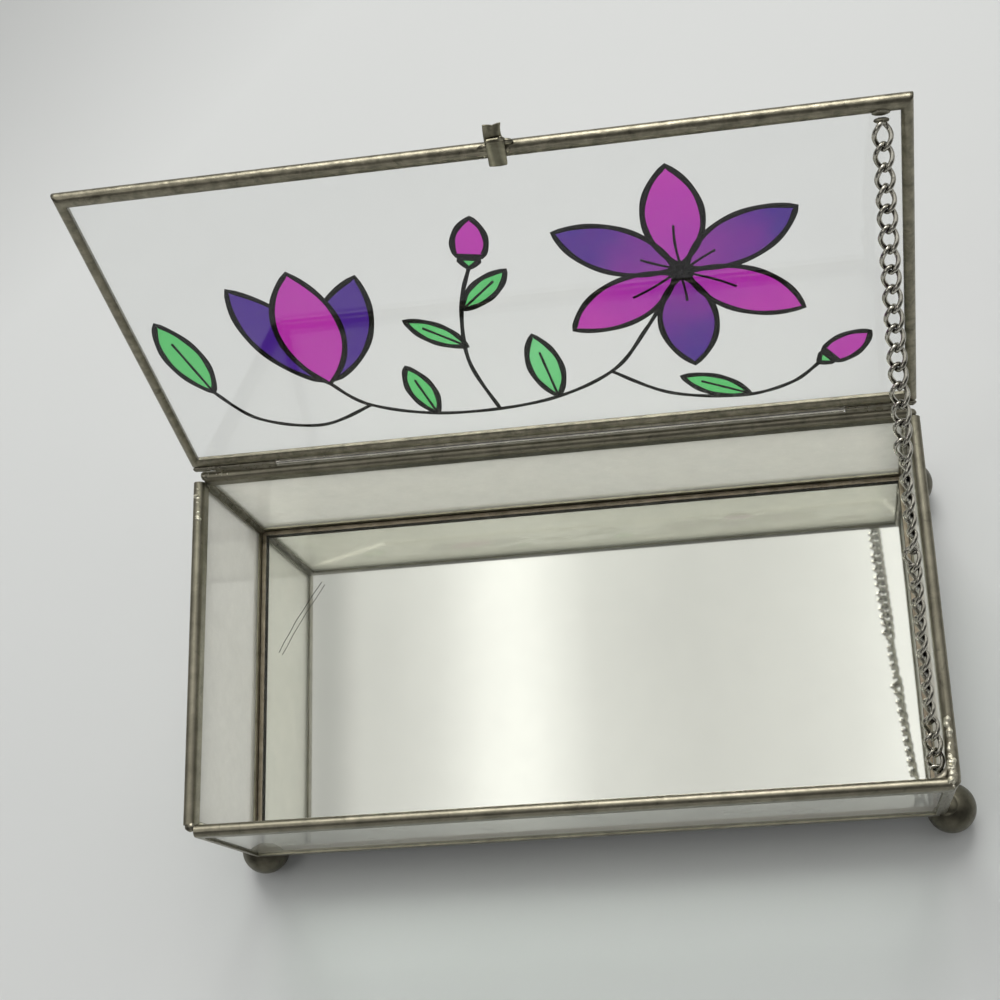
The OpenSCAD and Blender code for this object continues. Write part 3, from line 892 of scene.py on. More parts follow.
def tube_skin(
    path: list[Vector],
    radius: float,
    sides: int,
    closed: bool = False,
    radii: list[float] | None = None,
    first: int = 0,
) -> tuple[list[Vector], list[tuple[int, ...]]]:
    """Sweep a round section along a path.

    Args:
        path: Middle line of the tube.
        radius: Radius in metres.
        sides: Number of points round the section.
        closed: Whether the path is a ring.
        radii: A factor on the radius for each path point.
        first: Index of the first point, for joining skins.

    Returns:
        Points and faces.
    """
    count = len(path)
    points: list[Vector] = []
    faces: list[tuple[int, ...]] = []
    up = Vector((0.0, 0.0, 1.0))
    start = (path[1] - path[0]).normalized()
    if abs(start.dot(up)) > 0.9:
        up = Vector((1.0, 0.0, 0.0))
    side = start.cross(up).normalized()
    for i in range(count):
        ahead = path[(i + 1) % count] if closed or i + 1 < count else path[i]
        behind = path[i - 1] if closed or i > 0 else path[i]
        along = (ahead - behind).normalized()
        side = (side - along * side.dot(along)).normalized()
        over = along.cross(side)
        size = radius * (radii[i] if radii else 1.0)
        for k in range(sides):
            turn = 2.0 * math.pi * k / sides
            points.append(path[i] + (side * math.cos(turn) + over * math.sin(turn)) * size)
    spans = count if closed else count - 1
    for i in range(spans):
        a, b = i * sides, ((i + 1) % count) * sides
        shift = 0
        if closed and i == count - 1:
            shift = min(
                range(sides),
                key=lambda s: (points[a] - points[s]).length_squared,
            )
        for k in range(sides):
            k2 = (k + 1) % sides
            faces.append(
                (
                    first + a + k,
                    first + a + k2,
                    first + b + (k2 + shift) % sides,
                    first + b + (k + shift) % sides,
                )
            )
    if not closed:
        faces.append(tuple(first + k for k in range(sides))[::-1])
        faces.append(tuple(first + (count - 1) * sides + k for k in range(sides)))
    return points, faces


def soften(
    piece: bpy.types.Object, width: float, segments: int, sharpest: float = 40.0
) -> None:
    """Round a piece's edges and shade it smooth.

    Args:
        piece: The mesh piece.
        width: Bevel width in metres.
        segments: Segments of the bevel.
        sharpest: Angle in degrees above which an edge is rounded.
    """
    shape = bmesh.new()
    shape.from_mesh(piece.data)
    bmesh.ops.recalc_face_normals(shape, faces=list(shape.faces))
    sharp = [
        edge
        for edge in shape.edges
        if len(edge.link_faces) == 2 and edge.calc_face_angle() > math.radians(sharpest)
    ]
    bmesh.ops.bevel(
        shape, geom=sharp, offset=width, segments=segments, affect="EDGES", clamp_overlap=True
    )
    shape.to_mesh(piece.data)
    shape.free()
    piece.data.polygons.foreach_set("use_smooth", [True] * len(piece.data.polygons))


def solder_blob(
    name: str,
    centre: Point,
    size: Point,
    body: Body,
    seed: int,
    unevenness: float = 0.2,
    finish: Finish | None = None,
) -> bpy.types.Object:
    """Make a smooth uneven blob of solder.

    Args:
        name: The piece's name.
        centre: Its middle, in metres.
        size: Its half lengths along x, y and z, in metres.
        body: The body that it rides on.
        seed: Seed of its shape.
        unevenness: Share of its size by which it swells and shrinks.
        finish: Another finish than solder.

    Returns:
        The blob.
    """
    rng = random.Random(seed)
    waves = [
        (
            Vector([rng.uniform(-1, 1) for _ in range(3)]) * rng.uniform(1.5, 4.0),
            rng.uniform(0, 6.28),
            rng.uniform(0.3, 1.0),
        )
        for _ in range(7)
    ]
    shape = bmesh.new()
    bmesh.ops.create_icosphere(shape, subdivisions=4, radius=1.0)
    for vert in shape.verts:
        place = vert.co.copy()
        swell = sum(math.sin(w.dot(place) + p) * a for w, p, a in waves) / 3.5
        place *= 1.0 + unevenness * swell
        vert.co = Vector(
            (
                centre[0] + place.x * size[0],
                centre[1] + place.y * size[1],
                centre[2] + place.z * size[2],
            )
        )
    mesh = bpy.data.meshes.new(name)
    shape.to_mesh(mesh)
    shape.free()
    return set_out(name, mesh, finish or Shop.SOLDER, body)


def sheet_skin(
    grid: list[list[Vector]], thick: float
) -> tuple[list[Vector], list[tuple[int, ...]]]:
    """Give a grid of points a thickness on its hidden side.

    Args:
        grid: Rows of points of the seen face.
        thick: Thickness in metres.

    Returns:
        Points and faces of the closed sheet.
    """
    rows, cols = len(grid), len(grid[0])
    seen: list[Vector] = []
    hidden: list[Vector] = []
    for i in range(rows):
        for j in range(cols):
            down = grid[min(i + 1, rows - 1)][j] - grid[max(i - 1, 0)][j]
            over = grid[i][min(j + 1, cols - 1)] - grid[i][max(j - 1, 0)]
            seen.append(grid[i][j])
            hidden.append(grid[i][j] - over.cross(down).normalized() * thick)
    faces: list[tuple[int, ...]] = []
    back = rows * cols
    for i in range(rows - 1):
        for j in range(cols - 1):
            a = i * cols + j
            faces.append((a, a + 1, a + cols + 1, a + cols))
            faces.append((back + a + cols, back + a + cols + 1, back + a + 1, back + a))
    rim = (
        [j for j in range(cols - 1)]
        + [i * cols + cols - 1 for i in range(rows - 1)]
        + [(rows - 1) * cols + j for j in range(cols - 1, 0, -1)]
        + [i * cols for i in range(rows - 1, 0, -1)]
    )
    for k, a in enumerate(rim):
        b = rim[(k + 1) % len(rim)]
        faces.append((b, a, back + a, back + b))
    return seen + hidden, faces


def solder_streak(
    name: str,
    start: Vector,
    end: Vector,
    width: float,
    body: Body,
    seed: int,
    finish: Finish,
) -> bpy.types.Object:
    """Run an uneven low ridge of solder between two places.

    Args:
        name: The piece's name.
        start: Its first place, in metres.
        end: Its last place, in metres.
        width: Its greatest half width.
        body: The body that it rides on.
        seed: Seed of its shape.
        finish: The finish that it wears.

    Returns:
        The ridge.
    """
    rng = random.Random(seed)
    phase = [rng.uniform(0, 6.28) for _ in range(6)]
    steps, least, taper = 90, 0.15, 6.0
    path, sizes = [], []
    for i in range(steps + 1):
        t = i / steps
        sway = math.sin(19 * t + phase[0]) + 0.7 * math.sin(43 * t + phase[1])
        across = Vector((0.22, 0.0, 0.0)) * width * sway
        path.append(start + (end - start) * t + across)
        swell = 0.62 + 0.2 * math.sin(13 * t + phase[2]) + 0.16 * math.sin(37 * t + phase[3])
        swell += 0.12 * math.sin(83 * t + phase[4])
        tip = min(1.0, taper * t + 0.05, taper * (1.0 - t) + 0.05)
        sizes.append(max(swell, least) * tip)
    skin, faces = tube_skin(path, width, 14, radii=sizes)
    return new_piece(name, skin, faces, finish, body)


def dress(nodes: dict[str, bpy.types.Object], names: list[str], finish: Finish) -> None:
    """Give carried-over nodes a finish.

    Args:
        nodes: The frame's nodes by name.
        names: The nodes to dress.
        finish: The finish they wear.
    """
    for name in names:
        node = nodes[name]
        node.data.materials.clear()
        node.data.materials.append(Shop.get(finish))
        LOG.info("dressed %s as %s", name, finish.name)


# ---------------------------------------------------------------- sub-assemblies


@dataclass
class BoxSizes:
    """Sizes shared by the sub-assemblies, in metres."""

    inner_w: float = 0.178
    inner_d: float = 0.087
    wall_h: float = 0.0486
    came_t: float = 0.003
    wall_face: float = 0.0042
    wall_z: float = 0.01263
    hinge_rise: float = 0.001
    lid_open: float = 110.6
    lid_rise: float = 0.0008
    lid_w: float = 0.183
    lid_front: float = 0.09305
    lid_back: float = 0.0021564
    glass_t: float = 0.002

    @property
    def rail_z(self) -> float:
        """Height of the wall rails' upper edge."""
        return self.wall_z + self.wall_h

    @property
    def hinge(self) -> Vector:
        """A point on the hinge line."""
        return Vector((0.0, self.inner_d / 2 + self.came_t, self.rail_z + self.hinge_rise))

    @property
    def lid_middle(self) -> float:
        """Distance from the hinge line to the lid's middle."""
        return (self.lid_front + self.lid_back - self.came_t / 2) / 2

    def on_lid(self, x: float, along: float, out: float) -> Vector:
        """Return a point of the open lid.

        Args:
            x: Place along the hinge.
            along: Distance from the hinge line toward the front edge.
            out: Height above the hinge line's plane, toward the lid's outer face.

        Returns:
            The place in the shared frame.
        """
        turn = math.radians(self.lid_open)
        return self.hinge + Vector(
            (
                x,
                -along * math.cos(turn) + out * math.sin(turn),
                along * math.sin(turn) + out * math.cos(turn),
            )
        )


@dataclass
class GlassWalls:
    """The four soldered walls: rings of came, their panes and corner solder."""

    sizes: BoxSizes
    sides: tuple[str, ...] = ("front", "back", "left", "right")
    bead_r: float = 0.00125
    bead_out: float = 0.00035
    filed: float = 0.0041
    streaks: tuple[tuple[str, Flat, Flat, float, float], ...] = (
        ("fr", (0.0904, -0.0272), (0.0901, -0.0458), 0.00085, 0.4),
        ("fr_wide", (0.0901, -0.0375), (0.0899, -0.0462), 0.00105, 0.4),
        ("bl", (-0.0905, 0.0434), (-0.0905, 0.0315), 0.0009, 0.68),
        ("back_a", (-0.0796, 0.0448), (-0.0893, 0.0452), 0.0006, 0.7),
    )
    beads: tuple[tuple[str, int, int], ...] = (("fl", -1, -1), ("bl", -1, 1), ("br", 1, 1))
    bead_ends: Flat = (0.0002, 0.0024)
    lumps: tuple[tuple[str, Point, Point], ...] = (
        ("bl_a", (-0.0886, 0.0451, 0.0009), (0.0014, 0.0013, 0.0011)),
        ("bl_b", (-0.0906, 0.0405, 0.0008), (0.0009, 0.0012, 0.0007)),
        ("fl_a", (-0.0900, -0.0440, 0.0009), (0.0013, 0.0011, 0.0008)),
        ("fr_a", (0.0906, -0.0365, 0.0009), (0.0011, 0.0024, 0.0008)),
        ("fr_b", (0.0906, -0.0402, 0.0008), (0.0012, 0.0026, 0.0009)),
        ("fr_c", (0.0904, -0.0438, 0.0007), (0.0014, 0.0022, 0.0009)),
        ("fr_d", (0.0892, -0.0450, 0.0009), (0.0015, 0.0012, 0.0008)),
        ("br_a", (0.0899, 0.0446, 0.0009), (0.0013, 0.0012, 0.0008)),
    )
    web_reach: Flat = (0.0058, 0.0048)
    web_depth: Flat = (0.0012, 0.0046)
    web_hollow: float = 0.0016
    web_sunk: float = 0.0003
    web_round: float = 0.0005
    lump_seed: int = 11
    bead_seed: int = 71
    streak_seed: int = 91

    def build(self, nodes: dict[str, bpy.types.Object]) -> None:
        """Dress the rings, panes and seams, and add the solder lumps at the corners.

        Args:
            nodes: The frame's nodes by name.
        """
        dress(nodes, [f"{s}_came" for s in self.sides], Shop.CAME)
        dress(nodes, ["front_glass"], Shop.FRONT_GLASS)
        dress(nodes, ["back_glass"], Shop.BACK_GLASS)
        dress(nodes, ["left_glass", "right_glass"], Shop.SIDE_GLASS)
        dress(nodes, ["corner_seam_fr"], Shop.SOLDER)
        dress(nodes, [f"floor_solder_{s}" for s in self.sides], Shop.SOLDER)
        self.rail_ends()
        self.corner_lumps()

    def rail_ends(self) -> None:
        """Close the front right notch with the rails' ends, and bead the other three."""
        self.rail_end("fr", 1, -1)
        LOG.info("built rail end fr")
        for seed, (code, sx, sy) in enumerate(self.beads):
            self.seam_bead(code, sx, sy, self.bead_seed + seed)
            LOG.info("built seam bead %s", code)

    def seam_bead(self, code: str, sx: int, sy: int, seed: int) -> None:
        """Run an uneven bead of solder down the notch between two rails.

        Args:
            code: The corner's short name.
            sx: -1 for the left side, 1 for the right side.
            sy: -1 for the front, 1 for the back.
            seed: Seed of its unevenness.
        """
        s = self.sizes
        rng = random.Random(seed)
        low, high = s.wall_z + self.bead_ends[0], s.rail_z - self.bead_ends[1]
        steps = 60
        phase = [rng.uniform(0, 6.28) for _ in range(4)]
        path, sizes = [], []
        for i in range(steps + 1):
            t = i / steps
            sway = 0.00012 * math.sin(11 * t + phase[0])
            sway += 0.00007 * math.sin(27 * t + phase[1])
            out = self.bead_out + sway
            path.append(
                Vector(
                    (
                        sx * (s.inner_w / 2 + out),
                        sy * (s.inner_d / 2 + out - 0.5 * sway),
                        low + (high - low) * t,
                    )
                )
            )
            swell = 1.0 + 0.09 * math.sin(17 * t + phase[2])
            swell += 0.06 * math.sin(41 * t + phase[3])
            end = min(1.0, math.sqrt(max(0.02, (1.0 - t) * 45.0)))
            sizes.append(swell * min(1.0, end))
        skin, faces = tube_skin(path, self.bead_r, 20, radii=sizes)
        bead = new_piece(f"seam_bead_{code}", skin, faces, Shop.SOLDER, Body.BOX)
        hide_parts(f"corner_seam_{code}")

    def rail_end(self, code: str, sx: int, sy: int) -> None:
        """Build one corner block with half-round top and a filed-off outer edge.

        Args:
            code: The corner's short name.
            sx: -1 for the left side, 1 for the right side.
            sy: -1 for the front, 1 for the back.
        """
        s = self.sizes
        half = s.came_t / 2
        reach = s.came_t - 0.00015
        steps = 14
        rng = random.Random(sum(map(ord, code)))
        waves = [
            (rng.uniform(900, 2600), rng.uniform(900, 2600), rng.uniform(0, 6.28))
            for _ in range(4)
        ]
        points: list[Vector] = []
        faces: list[tuple[int, ...]] = []
        for i in range(steps + 1):
            for j in range(steps + 1):
                u, v = reach * i / steps, reach * j / steps
                far = max(u, v)
                trim = 1.0
                if u + v > self.filed:
                    trim = self.filed / (u + v)
                rise = math.sqrt(max(half * half - (far - half) ** 2, 0.0))
                bump = sum(math.sin(a * u + b * v + c) for a, b, c in waves) * 0.00004
                edge = min(u, v, reach - u, reach - v) / reach
                height = s.rail_z - half + rise + bump * min(1.0, 4 * edge)
                points.append(
                    Vector(
                        (
                            sx * (s.inner_w / 2 + u * trim),
                            sy * (s.inner_d / 2 + v * trim),
                            min(height, s.rail_z + 0.00005),
                        )
                    )
                )
        row = steps + 1
        for i in range(steps):
            for j in range(steps):
                quad = (i * row + j, (i + 1) * row + j, (i + 1) * row + j + 1, i * row + j + 1)
                faces.append(quad if sx * sy > 0 else quad[::-1])
        rim = (
            [i * row for i in range(steps)]
            + [steps * row + j for j in range(steps)]
            + [i * row + steps for i in range(steps, 0, -1)]
            + list(range(steps, 0, -1))
        )
        low = len(points)
        floor = s.rail_z - s.wall_face
        for k in rim:
            points.append(Vector((points[k].x, points[k].y, floor)))
        count = len(rim)
        for k in range(count):
            k2 = (k + 1) % count
            quad = (rim[k], low + k, low + k2, rim[k2])
            faces.append(quad if sx * sy > 0 else quad[::-1])
        bottom = tuple(low + k for k in range(count))
        faces.append(bottom[::-1] if sx * sy > 0 else bottom)
        new_piece(f"rail_end_{code}", points, faces, Shop.CAME, Body.BOX)

    def corner_lumps(self) -> None:
        """Add the lumps and streaks of solder at the rail joints; the streaks' very light
        colour is a painted highlight.
        """
        top = self.sizes.rail_z
        for seed, (code, (x, y, drop), size) in enumerate(self.lumps):
            solder_blob(
                f"solder_lump_{code}",
                (x, y, top - drop),
                size,
                Body.BOX,
                self.lump_seed + seed,
            )
            LOG.info("built solder lump %s", code)
        # The streaks wear the very light solder, a painted highlight.
        for seed, (code, start, end, width, sunk) in enumerate(self.streaks):
            solder_streak(
                f"solder_streak_{code}",
                Vector((*start, top - width * sunk)),
                Vector((*end, top - width * sunk)),
                width,
                Body.BOX,
                self.streak_seed + seed,
                Shop.HIGHLIGHT_SOLDER,
            )
            LOG.info("built solder streak %s", code)
        self.corner_web()

    def corner_web(self) -> None:
        """Build the solder web in the front right inner corner that holds the hook."""
        s = self.sizes
        corner = (s.inner_w / 2 + self.web_sunk, -s.inner_d / 2 - self.web_sunk)
        reach_x, reach_y = self.web_reach
        top, low = s.rail_z - self.web_depth[0], s.rail_z - self.web_depth[1]
        steps = 14
        outline = [corner]
        for i in range(steps + 1):
            turn = 0.5 * math.pi * i / steps
            outline.append(
                (
                    corner[0] - reach_x * (1.0 - math.sin(turn)),
                    corner[1] + reach_y * (1.0 - math.cos(turn)),
                )
            )
        count = len(outline)
        points = [Vector((x, y, top)) for x, y in outline]
        for x, y in outline:
            near = 1.0 - math.hypot(x - corner[0], y - corner[1]) / reach_x
            points.append(Vector((x, y, low + self.web_hollow * (1.0 - max(near, 0.0)))))
        faces: list[tuple[int, ...]] = [
            (0, i + 1, i) for i in range(1, count - 1)
        ] + [(count, count + i, count + i + 1) for i in range(1, count - 1)]
        for i in range(count):
            j = (i + 1) % count
            faces.append((i, j, count + j, count + i))
        piece = new_piece(
            "corner_web", points, faces, Shop.WEB, Body.BOX, smooth=False
        )
        soften(piece, self.web_round, 3)
        LOG.info("built corner_web")


@dataclass
class MirrorFloor:
    """The mirror: clear glass, silver, paint and the strip round its edge."""

    sizes: BoxSizes
    half_w: float = 0.0886
    half_d: float = 0.0431
    top: float = 0.01473
    thick: float = 0.002
    air: float = 0.00002
    rim: float = 0.0002
    fibre_r: float = 0.00009
    fibre_spots: tuple[Flat, ...] = (
        (-0.07156, 0.02746),
        (-0.07553, 0.02177),
        (-0.07892, 0.01663),
        (-0.08173, 0.01176),
        (-0.08396, 0.00771),
    )

    def build(self, nodes: dict[str, bpy.types.Object]) -> None:
        """Dress the floor and replace its glass by a pane with ground edges.

        Args:
            nodes: The frame's nodes by name.
        """
        dress(nodes, ["mirror_silver"], Shop.SILVER)
        dress(nodes, ["mirror_paint"], Shop.BACK_PAINT)
        dress(nodes, ["mirror_edge_strip"], Shop.FOIL)
        self.pane()
        self.fibre()

    def fibre(self) -> None:
        """Lay a fine loose fibre on the glass, near the left back corner."""
        path = []
        for i, ((x0, y0), (x1, y1)) in enumerate(zip(self.fibre_spots, self.fibre_spots[1:])):
            for t in range(6):
                share = t / 6
                x = x0 * (1 - share) + x1 * share
                y = y0 * (1 - share) + y1 * share
                lift = 0.00012 + 0.00025 * math.sin(0.13 * math.pi * (6 * i + t)) ** 2
                path.append(Vector((x, y, self.top + lift)))
        skin, faces = tube_skin(path, self.fibre_r, 6)
        new_piece("loose_fibre", skin, faces, Shop.FIBRE, Body.BOX)
        LOG.info("built loose_fibre")

    def pane(self) -> None:
        """Build the clear glass, a hair above the silver, with bevelled rims."""
        shape = bmesh.new()
        bmesh.ops.create_cube(shape, size=1.0)
        low = self.top - self.thick + self.air
        for vert in shape.verts:
            vert.co = Vector(
                (
                    2 * vert.co.x * self.half_w,
                    2 * vert.co.y * self.half_d,
                    self.top if vert.co.z > 0 else low,
                )
            )
        bmesh.ops.bevel(
            shape, geom=list(shape.edges), offset=self.rim, segments=2, affect="EDGES"
        )
        name = "mirror_glass_pane"
        mesh = bpy.data.meshes.new(name)
        shape.to_mesh(mesh)
        shape.free()
        piece = set_out(name, mesh, Shop.MIRROR_GLASS, Body.BOX, False)
        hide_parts("mirror_pane")
        LOG.info("built mirror_glass_pane")


@dataclass
class BallFeet:
    """Four metal balls with their solder collars."""

    corners: tuple[str, ...] = ("fl", "fr", "bl", "br")
    tops: tuple[tuple[str, float, float], ...] = (
        ("fl", -0.0888, -0.0434),
        ("fr", 0.0912, -0.0436),
        ("bl", -0.0906, 0.0436),
        ("br", 0.0906, 0.0436),
    )
    collar: Point = (0.0026, 0.0026, 0.0009)
    collar_z: float = 0.0124
    seed: int = 61

    def build(self, nodes: dict[str, bpy.types.Object]) -> None:
        """Dress the balls and build their solder collars.

        Args:
            nodes: The frame's nodes by name.
        """
        dress(nodes, [f"ball_foot_{c}" for c in self.corners], Shop.BALL)
        for seed, (code, x, y) in enumerate(self.tops):
            collar = solder_blob(
                f"foot_collar_{code}",
                (x, y, self.collar_z),
                self.collar,
                Body.BOX,
                self.seed + seed,
                finish=Shop.BALL,
            )
            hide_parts(f"foot_solder_{code}")
            LOG.info("built foot collar %s", code)


@dataclass
class RodHinge:
    """Rod on the box, tube on the lid, and the solder of both."""

    sizes: BoxSizes
    ends: tuple[tuple[str, float, float], ...] = (
        ("left", -0.0914, -0.0845),
        ("right", 0.0845, 0.0914),
    )
    end_r: float = 0.00076
    steps: int = 24

    def build(self, nodes: dict[str, bpy.types.Object]) -> None:
        """Dress the hinge and run the rod's solder on to the box's ends.

        Args:
            nodes: The frame's nodes by name.
        """
        dress(nodes, ["hinge_rod", "hinge_tube"], Shop.HINGE)
        dress(nodes, ["rod_solder_left", "rod_solder_right", "tube_solder"], Shop.SOLDER)
        steps = self.steps
        for name, x0, x1 in self.ends:
            path = [
                self.sizes.hinge + Vector((x0 + (x1 - x0) * i / steps, 0.0, 0.00002 * (i % 3)))
                for i in range(steps + 1)
            ]
            radii = [
                min(1.0, math.sqrt(min(i, steps - i) / 3.0 + 0.05)) * (1 + 0.04 * math.sin(i))
                for i in range(steps + 1)
            ]
            skin, faces = tube_skin(path, self.end_r, 18, radii=radii)
            new_piece(f"hinge_end_{name}", skin, faces, Shop.SOLDER, Body.BOX)
            LOG.info("built hinge_end_%s", name)


@dataclass
class HingedLid:
    """The lid's ring and pane, with its lift tab."""

    sizes: BoxSizes
    faces_w: tuple[float, float, float, float] = (0.00295, 0.0025, 0.0031, 0.0025)
    tip: float = 0.00106
    step: float = 0.0008
    strap: tuple[tuple[float, float, float], ...] = (
        (5.9, 87.9, -0.8),
        (5.95, 88.8, -0.88),
        (6.05, 90.2, -0.93),
        (6.15, 91.5, -0.96),
        (6.22, 92.5, -1.0),
        (6.28, 93.2, -1.08),
        (6.34, 93.9, -1.12),
        (6.39, 94.45, -1.0),
        (6.42, 94.8, -0.7),
        (6.44, 94.95, -0.3),
    )
    strap_half: float = 1.95
    strap_thick: float = 0.00022
    lip_low: Point = (0.0, 79.05, 149.9)
    lip_high: Point = (0.0, 81.45, 153.85)
    lip_sides: Flat = (4.12, 7.42)
    lip_thick: float = 0.00035
    lip_hollow: float = 0.45
    wave: float = 0.000013
    wave_seed: int = 23
    joint_seed: int = 121
    joints: tuple[tuple[str, Point, Point], ...] = (
        ("left", (3.7, 92.5, -0.05), (1.3, 0.7, 1.1)),
        ("right", (8.6, 93.3, 0.15), (1.7, 0.7, 1.15)),
        ("right_top", (7.7, 94.1, -0.15), (0.75, 0.55, 1.5)),
        ("right_low", (8.5, 91.2, -0.1), (1.1, 0.5, 1.4)),
    )

    def build(self, nodes: dict[str, bpy.types.Object]) -> None:
        """Dress the glass, and build the rounded rails and the tab.

        Args:
            nodes: The frame's nodes by name.
        """
        dress(nodes, ["lid_glass"], Shop.GLASS)
        self.rails()
        self.tab_strap()
        self.tab_lip()
        self.tab_joints()

    def rail_section(self, face: float) -> list[tuple[float, float]]:
        """Return a rail's section.

        Args:
            face: Width of the rail's face, in metres.

        Returns:
            Reach from the outer edge and height over the rail's middle, point by point.
        """
        half = self.sizes.came_t / 2
        upper = []
        for i in range(13):
            turn = 0.5 * math.pi * i / 12
            upper.append((half * (1.0 - math.cos(turn)), half * math.sin(turn)))
        for i in range(1, 8):
            t = i / 7
            upper.append((half + (face - half) * t, half - (half - self.tip) * t**2.2))
        upper.append((face + 0.00012, self.tip - 0.00012))
        upper.append((face + 0.00012, self.tip - 0.0004))
        return upper + [(a, -b) for a, b in upper[:0:-1]]

    def rails(self) -> None:
        """Sweep the rounded section round the lid, with mitres and uneven solder."""
        s = self.sizes
        middle = s.lid_middle
        half_w = s.lid_w / 2
        half_d = (s.lid_front - s.lid_back + s.came_t / 2) / 2
        corners = ((-1, -1), (1, -1), (1, 1), (-1, 1))
        sections = [self.rail_section(face) for face in self.faces_w]
        rng = random.Random(self.wave_seed)
        waves = [(rng.uniform(150, 1500), rng.uniform(0, 6.28)) for _ in range(12)]
        rings: list[list[Vector]] = []
        run = 0.0
        for k in range(4):
            (ax, ay), (bx, by) = corners[k], corners[(k + 1) % 4]
            length = 2 * (half_w if ay == by else half_d)
            count = round(length / self.step)
            for i in range(count):
                t = i / count
                ring = []
                for m, (reach, height) in enumerate(sections[k]):
                    before, after = sections[k - 1][m][0], sections[(k + 1) % 4][m][0]
                    along_x = ay == by
                    start = (reach, before) if not along_x else (before, reach)
                    stop = (reach, after) if not along_x else (after, reach)
                    x0, y0 = ax * (half_w - start[0]), ay * (half_d - start[1])
                    x1, y1 = bx * (half_w - stop[0]), by * (half_d - stop[1])
                    x, y = x0 + (x1 - x0) * t, y0 + (y1 - y0) * t
                    at = run + t * length
                    swell = sum(math.sin(w * at + c + 0.35 * m) for w, c in waves)
                    lump = self.wave * swell
                    edge = min(1.0, reach / 0.0009)
                    inner = max(abs(height) - abs(lump) * edge, 0.0)
                    ring.append(
                        s.on_lid(x, middle + y, s.lid_rise + math.copysign(inner, height))
                    )
                rings.append(ring)
            run += length
        points = [p for ring in rings for p in ring]
        size, total = len(sections[0]), len(rings)
        faces: list[tuple[int, ...]] = []
        for i in range(total):
            a, b = i * size, ((i + 1) % total) * size
            for m in range(size):
                n = (m + 1) % size
                faces.append((a + m, b + m, b + n, a + n))
        piece = new_piece("lid_rails", points, faces, Shop.LID_CAME, Body.LID)
        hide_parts("lid_came")
        LOG.info("built lid_rails")

    def tab_strap(self) -> None:
        """Build the band that folds over the front rail, hollow across its width."""
        grid = []
        parts = 4
        for i in range((len(self.strap) - 1) * parts + 1):
            k = min(i // parts, len(self.strap) - 2)
            t = i / parts - k
            (x0, a0, h0), (x1, a1, h1) = self.strap[k], self.strap[k + 1]
            x, along, out = x0 + (x1 - x0) * t, a0 + (a1 - a0) * t, h0 + (h1 - h0) * t
            foot = max(0.0, 1.0 - i / 6.0)
            row = []
            for j in range(-8, 9):
                u = j / 8
                wide = self.strap_half * (1.0 + 0.03 * foot - 0.07 * foot * foot)
                row.append(
                    self.sizes.on_lid(
                        (x + u * wide) * MM,
                        (along + 0.35 * foot * (u * u - 0.4)) * MM,
                        (out + 0.2 * (1.0 - u * u)) * MM,
                    )
                )
            grid.append(row)
        skin, faces = sheet_skin(grid, self.strap_thick)
        piece = new_piece("tab_strap", skin, faces, Shop.TAB, Body.LID)
        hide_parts("lift_tab")
        LOG.info("built tab_strap")

    def tab_lip(self) -> None:
        """Build the short notched lip that stands up behind the band."""
        low, high = Vector(self.lip_low), Vector(self.lip_high)
        grid = []
        for i in range(15):
            t = i / 14
            left = self.lip_sides[0] + 0.3 * t * t
            right = self.lip_sides[1] + 0.62 * t * t + 1.5 * max(0.0, 0.75 - t) ** 2
            row = []
            for j in range(17):
                u = j / 16
                peak = abs(2 * u - 1.0)
                reach = t * (1.0 - 0.13 * (1.0 - peak) ** 1.2 * t + 0.04 * (u - 0.5) * t)
                place = low + (high - low) * reach
                hollow = self.lip_hollow * (1.0 - (2 * u - 1.0) ** 2)
                row.append(
                    Vector(
                        (
                            (left + (right - left) * u) * MM,
                            (place.y + hollow * 0.85) * MM,
                            (place.z - hollow * 0.5) * MM,
                        )
                    )
                )
            grid.append(row)
        skin, faces = sheet_skin(grid, self.lip_thick)
        new_piece("tab_lip", skin, faces, Shop.TAB, Body.LID)
        LOG.info("built tab_lip")

    def tab_joints(self) -> None:
        """Add the solder beside the band."""
        for seed, (code, place, size) in enumerate(self.joints):
            blob = solder_blob(
                f"tab_solder_{code}",
                tuple(self.sizes.on_lid(*(v * MM for v in place))),
                tuple(v * MM for v in size),
                Body.LID,
                self.joint_seed + seed,
                finish=Shop.LID_CAME,
            )
            if code == "left":
                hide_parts("tab_solder")
            LOG.info("built tab solder %s", code)


